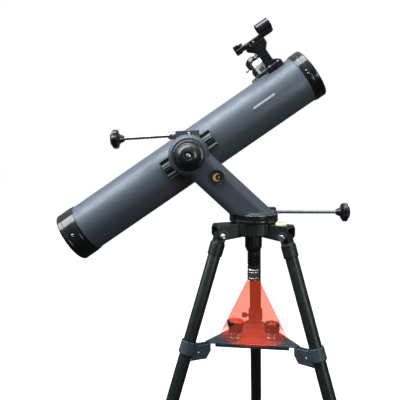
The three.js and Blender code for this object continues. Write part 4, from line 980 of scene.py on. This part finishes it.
def make_eyepieces():
    for number in (1, 2):
        barrel_node = f"eyepiece_{number}_barrel"
        body_node = f"eyepiece_{number}_body"
        middle = centre(barrel_node)
        place = frame_at((middle.x, middle.y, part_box(barrel_node)[0].z), (1, 0, 0), z=(0, 0, 1))
        high = span(barrel_node, place)[1]
        radius = high.x
        barrel = [
            (radius - 1.2, 0), (radius, 0), (radius, 3), (radius - 0.5, 3.6), (radius - 0.5, 8),
            (radius, 8.6), (radius, high.z), (radius - 1.2, high.z), (radius - 1.2, 0),
        ]
        stand_for(lathe(f"{barrel_node}_fine", place, barrel, sides=96, soft=0.3), barrel_node, "chrome")
        low, high = span(body_node, place)
        if number == 1:
            profile = [
                (0, low.z), (radius, low.z), (15, low.z + 3), (15.4, low.z + 5), (18, high.z - 6),
                (18.9, high.z - 3.4), (18.9, high.z - 1), (18, high.z), (14.4, high.z), (10, high.z - 3),
                (8, high.z - 4.2), (0, high.z - 5),
            ]
            wave = None
        else:
            profile = [
                (0, low.z), (radius, low.z), (16.9, low.z + 2), (16.9, low.z + 6.5), (16, low.z + 7.3),
                (16, high.z - 8), (16.9, high.z - 7.2), (16.9, high.z - 3), (15.4, high.z), (13, high.z),
                (8, high.z - 4), (0, high.z - 5),
            ]
            wave = knurl(48, 0.35, 16.5)
        body = lathe(f"{body_node}_fine", place, profile, sides=144, soft=0.5, wave=wave)
        stand_for(body, body_node, "rubber" if number == 1 else "gloss")
        glass = [
            (0, high.z - 4.6), (7.6, high.z - 4), (7.6, high.z - 3.4), (4, high.z - 2.9),
            (0, high.z - 2.7),
        ]
        eye_lens = lathe(f"eyepiece_{number}_eye_lens", place, glass, sides=48, soft=0.1)
        add_to(eye_lens, body_node, "glass")


def pipe(name, place, outer, wall, bottom, top):
    inner = outer - wall
    profile = [(inner, bottom), (outer, bottom), (outer, top), (inner, top), (inner, bottom)]
    return lathe(name, place, profile, sides=96, soft=0.4)


def make_leg(number):
    leg = leg_frame(number)
    name = f"leg_{number}"
    stand_for(cast(f"{name}_top", leg, 0.8, 4), f"{name}_top", "satin")
    low, high = span(f"{name}_tube", leg)
    outer = high.y
    stand_for(pipe(f"{name}_tube_fine", leg, outer, 1.6, low.z, high.z), f"{name}_tube", "powder")
    stand_for(cast(f"{name}_tray_collar", leg, 0.7, 3), f"{name}_tray_collar", "slate")
    make_collar_screws(number, leg)
    stand_for(cast(f"{name}_lock", leg, 0.7, 3), f"{name}_lock", "moulded")
    low, high = span(f"{name}_lock_knob", leg)
    middle = (low.z + high.z) / 2
    place = leg @ Matrix.Translation(Vector((0, 0, middle)) * MM)
    radius = high.y
    end = high.x
    knob = [
        (0, low.x), (3, low.x), (3, end - 16), (9, end - 16), (9.6, end - 15), (radius - 0.6, end - 12.6),
        (radius, end - 11), (radius, end - 4), (radius - 1, end - 2.6), (8.4, end - 0.5), (0, end),
    ]
    wings = knurl(6, 1.4, 9.2)
    lock_knob = lathe(f"{name}_lock_knob_fine", place, knob, axis="X", sides=120, soft=0.5, wave=wings)
    stand_for(lock_knob, f"{name}_lock_knob", "moulded")
    low, high = span(f"{name}_lower_tube", leg)
    outer = high.y
    lower = pipe(f"{name}_lower_tube_fine", leg, outer, 1.4, low.z, high.z)
    stand_for(lower, f"{name}_lower_tube", "powder")
    stand_for(cast(f"{name}_foot", leg, 0.7, 3), f"{name}_foot", "rubber")


def make_collar_screws(number, leg):
    node = f"leg_{number}_tray_collar"
    low, high = span(node, leg)
    side = 8
    spot = Vector((-24, 0, (low.z + high.z) / 2 - 2))
    spots = [((spot.x, side - 0.3, spot.z), (0, 1, 0)), ((spot.x, -side + 0.3, spot.z), (0, -1, 0))]
    add_to(screws(f"leg_{number}_collar_screws", leg, spots, 3, 1.6), node, "zinc")
    if number == 1:
        bm = bmesh.new()
        knob = [(0, -3), (3, -3), (3, 4), (6.2, 5), (6.4, 6), (6.4, 15), (5.6, 16.4), (0, 17)]
        post = Vector((0, high.y, (low.z + high.z) / 2))
        lathe_into(bm, knob, sides=72, soft=0.4, at=pointing(post, (0, 1, 0)), wave=knurl(18, 0.5, 6))
        add_to(new_object("collar_thumb_knob", bm, leg), node, "moulded")


# ---------- Floor, light and camera ----------
def make_stage():
    floor = bpy.data.meshes.new("floor")
    reach = 14
    bm = bmesh.new()
    bmesh.ops.create_circle(bm, cap_ends=True, segments=96, radius=reach)
    bm.to_mesh(floor)
    bm.free()
    ground = bpy.data.objects.new("floor", floor)
    bpy.context.scene.collection.objects.link(ground)
    ground.location.z = -0.0005
    pale = material("pale_floor", (0.8, 0.8, 0.8), 0.6, Emission_Color=(1, 1, 1, 1), Emission_Strength=0.6)
    vary_roughness(pale, noise(pale, 20, 4), 0.55, 0.7)
    floor.materials.append(pale)
    bm = bmesh.new()
    bmesh.ops.create_uvsphere(bm, u_segments=64, v_segments=32, radius=reach * 0.98)
    bmesh.ops.reverse_faces(bm, faces=bm.faces)
    dome = bpy.data.meshes.new("backdrop")
    bm.to_mesh(dome)
    bm.free()
    backdrop = bpy.data.objects.new("backdrop", dome)
    bpy.context.scene.collection.objects.link(backdrop)
    white = material("white_backdrop", (0, 0, 0), 1.0, Emission_Color=(1, 1, 1, 1), Emission_Strength=1.0)
    dome.materials.append(white)
    for obj in (ground, backdrop):
        obj.visible_diffuse = False
        obj.visible_glossy = False
        obj.visible_transmission = False
    backdrop.visible_shadow = False


def make_world():
    world = bpy.data.worlds.new("studio")
    bpy.context.scene.world = world
    world.use_nodes = True
    tree = world.node_tree
    background = tree.nodes["Background"]
    coords = tree.nodes.new("ShaderNodeTexCoord")
    split = tree.nodes.new("ShaderNodeSeparateXYZ")
    levels = tree.nodes.new("ShaderNodeValToRGB")
    levels.color_ramp.elements[0].position = 0.2
    levels.color_ramp.elements[0].color = (0.035, 0.042, 0.036, 1)
    levels.color_ramp.elements[1].position = 0.9
    levels.color_ramp.elements[1].color = (0.9, 0.95, 1.0, 1)
    horizon = levels.color_ramp.elements.new(0.55)
    horizon.color = (0.13, 0.14, 0.145, 1)
    shift = tree.nodes.new("ShaderNodeMath")
    shift.operation = "MULTIPLY_ADD"
    shift.inputs[1].default_value = 0.5
    shift.inputs[2].default_value = 0.5
    tree.links.new(coords.outputs["Generated"], split.inputs["Vector"])
    tree.links.new(split.outputs["Z"], shift.inputs[0])
    tree.links.new(shift.outputs["Value"], levels.inputs["Fac"])
    tree.links.new(levels.outputs["Color"], background.inputs["Color"])
    background.inputs["Strength"].default_value = 0.7


def area_light(name, place, target, size, power, colour=(1, 1, 1), along=(1, 0, 0)):
    """A softbox whose long side lies along a direction."""
    light = bpy.data.lights.new(name, "AREA")
    light.shape = "RECTANGLE"
    light.size, light.size_y = size
    light.energy = power
    light.color = colour
    obj = bpy.data.objects.new(name, light)
    bpy.context.scene.collection.objects.link(obj)
    back = (place - target).normalized()
    side = Vector(along) - back * Vector(along).dot(back)
    obj.matrix_world = frame_at(place, side, z=back)


def make_lights():
    middle = HEAD.translation
    key = middle + Vector((-0.85, -0.30, 1.25))
    area_light("key", key, OPTICS.translation, (2.6, 1.0), 70, (0.92, 0.96, 1.0), TUBE_LINE)
    area_light("top", middle + Vector((0.5, 0.3, 1.9)), middle, (1.8, 1.2), 14, (0.95, 0.98, 1.0))
    area_light("right", middle + Vector((1.7, -2.0, 0.3)), middle, (0.9, 1.4), 18, (0.95, 0.98, 1.0))
    lamp = bpy.data.lights.new("tray_lamp", "SPOT")
    lamp.color = (1.0, 0.07, 0.02)
    lamp.energy = 8
    lamp.spot_size = math.radians(66)
    lamp.spot_blend = 0.12
    lamp.shadow_soft_size = 0.002
    glow = bpy.data.objects.new("tray_lamp", lamp)
    bpy.context.scene.collection.objects.link(glow)
    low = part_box("lamp_head")[0]
    glow.location = (AXIS.x, AXIS.y, low.z - 0.001)
    make_beam(low.z - 0.001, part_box("tray")[1].z + 0.001)


def make_beam(top, bottom):
    """The lamp's beam, drawn as a faint red cone down to the tray."""
    narrow, wide = 14, 74
    place = Matrix.Translation((AXIS.x, AXIS.y, 0))
    beam = lathe("lamp_beam", place, [(narrow, top / MM), (wide, bottom / MM)], sides=96, soft=0)
    haze = bpy.data.materials.new("red_haze")
    haze.use_nodes = True
    tree = haze.node_tree
    tree.nodes.clear()
    output = tree.nodes.new("ShaderNodeOutputMaterial")
    mix = tree.nodes.new("ShaderNodeMixShader")
    clear = tree.nodes.new("ShaderNodeBsdfTransparent")
    clear.inputs["Color"].default_value = (1, 0.62, 0.55, 1)
    glow = tree.nodes.new("ShaderNodeEmission")
    glow.inputs["Color"].default_value = (0.85, 0.11, 0.045, 1)
    glow.inputs["Strength"].default_value = 0.85
    tree.links.new(ramp(haze, noise(haze, 12, 3), 0.22, 0.3), mix.inputs["Fac"])
    tree.links.new(clear.outputs["BSDF"], mix.inputs[1])
    tree.links.new(glow.outputs["Emission"], mix.inputs[2])
    tree.links.new(mix.outputs["Shader"], output.inputs["Surface"])
    beam.data.materials.append(haze)
    for attribute in ("visible_diffuse", "visible_glossy", "visible_shadow", "visible_transmission"):
        setattr(beam, attribute, False)


CAMERA_OFFSET = Vector((-0.102, -1.203, 0.217))  # from the azimuth axis, at the height of the leg pivots
LENS = 48.6
PITCH = 2.545  # degrees down
YAW = 0.85  # degrees to the left
SHIFT_Y = -0.10


def make_camera():
    data = bpy.data.cameras.new("camera")
    data.lens = LENS
    data.sensor_width = 36
    data.shift_y = SHIFT_Y
    data.clip_start = 0.05
    camera = bpy.data.objects.new("camera", data)
    bpy.context.scene.collection.objects.link(camera)
    camera.location = AXIS + CAMERA_OFFSET
    camera.rotation_euler = (math.radians(90 - PITCH), 0, math.radians(YAW))
    bpy.context.scene.camera = camera
    bpy.context.scene.view_settings.view_transform = "Standard"


make_camera()
make_tube()
make_rear_cell()
make_front_ring()
make_mirrors()
make_trim_strip()
make_focuser()
make_finder()
make_saddle()
make_arm()
make_turntable()
make_lock_knob()
make_rod("azimuth_rod", "azimuth_knob", AZIMUTH_ROD, 0.5, None)
make_rod("altitude_rod", "altitude_knob", ALTITUDE_ROD, 0.75, 27)
make_hub()
make_lamp()
make_tray()
make_eyepieces()
for leg_number in (1, 2, 3):
    make_leg(leg_number)
make_stage()
make_world()
make_lights()
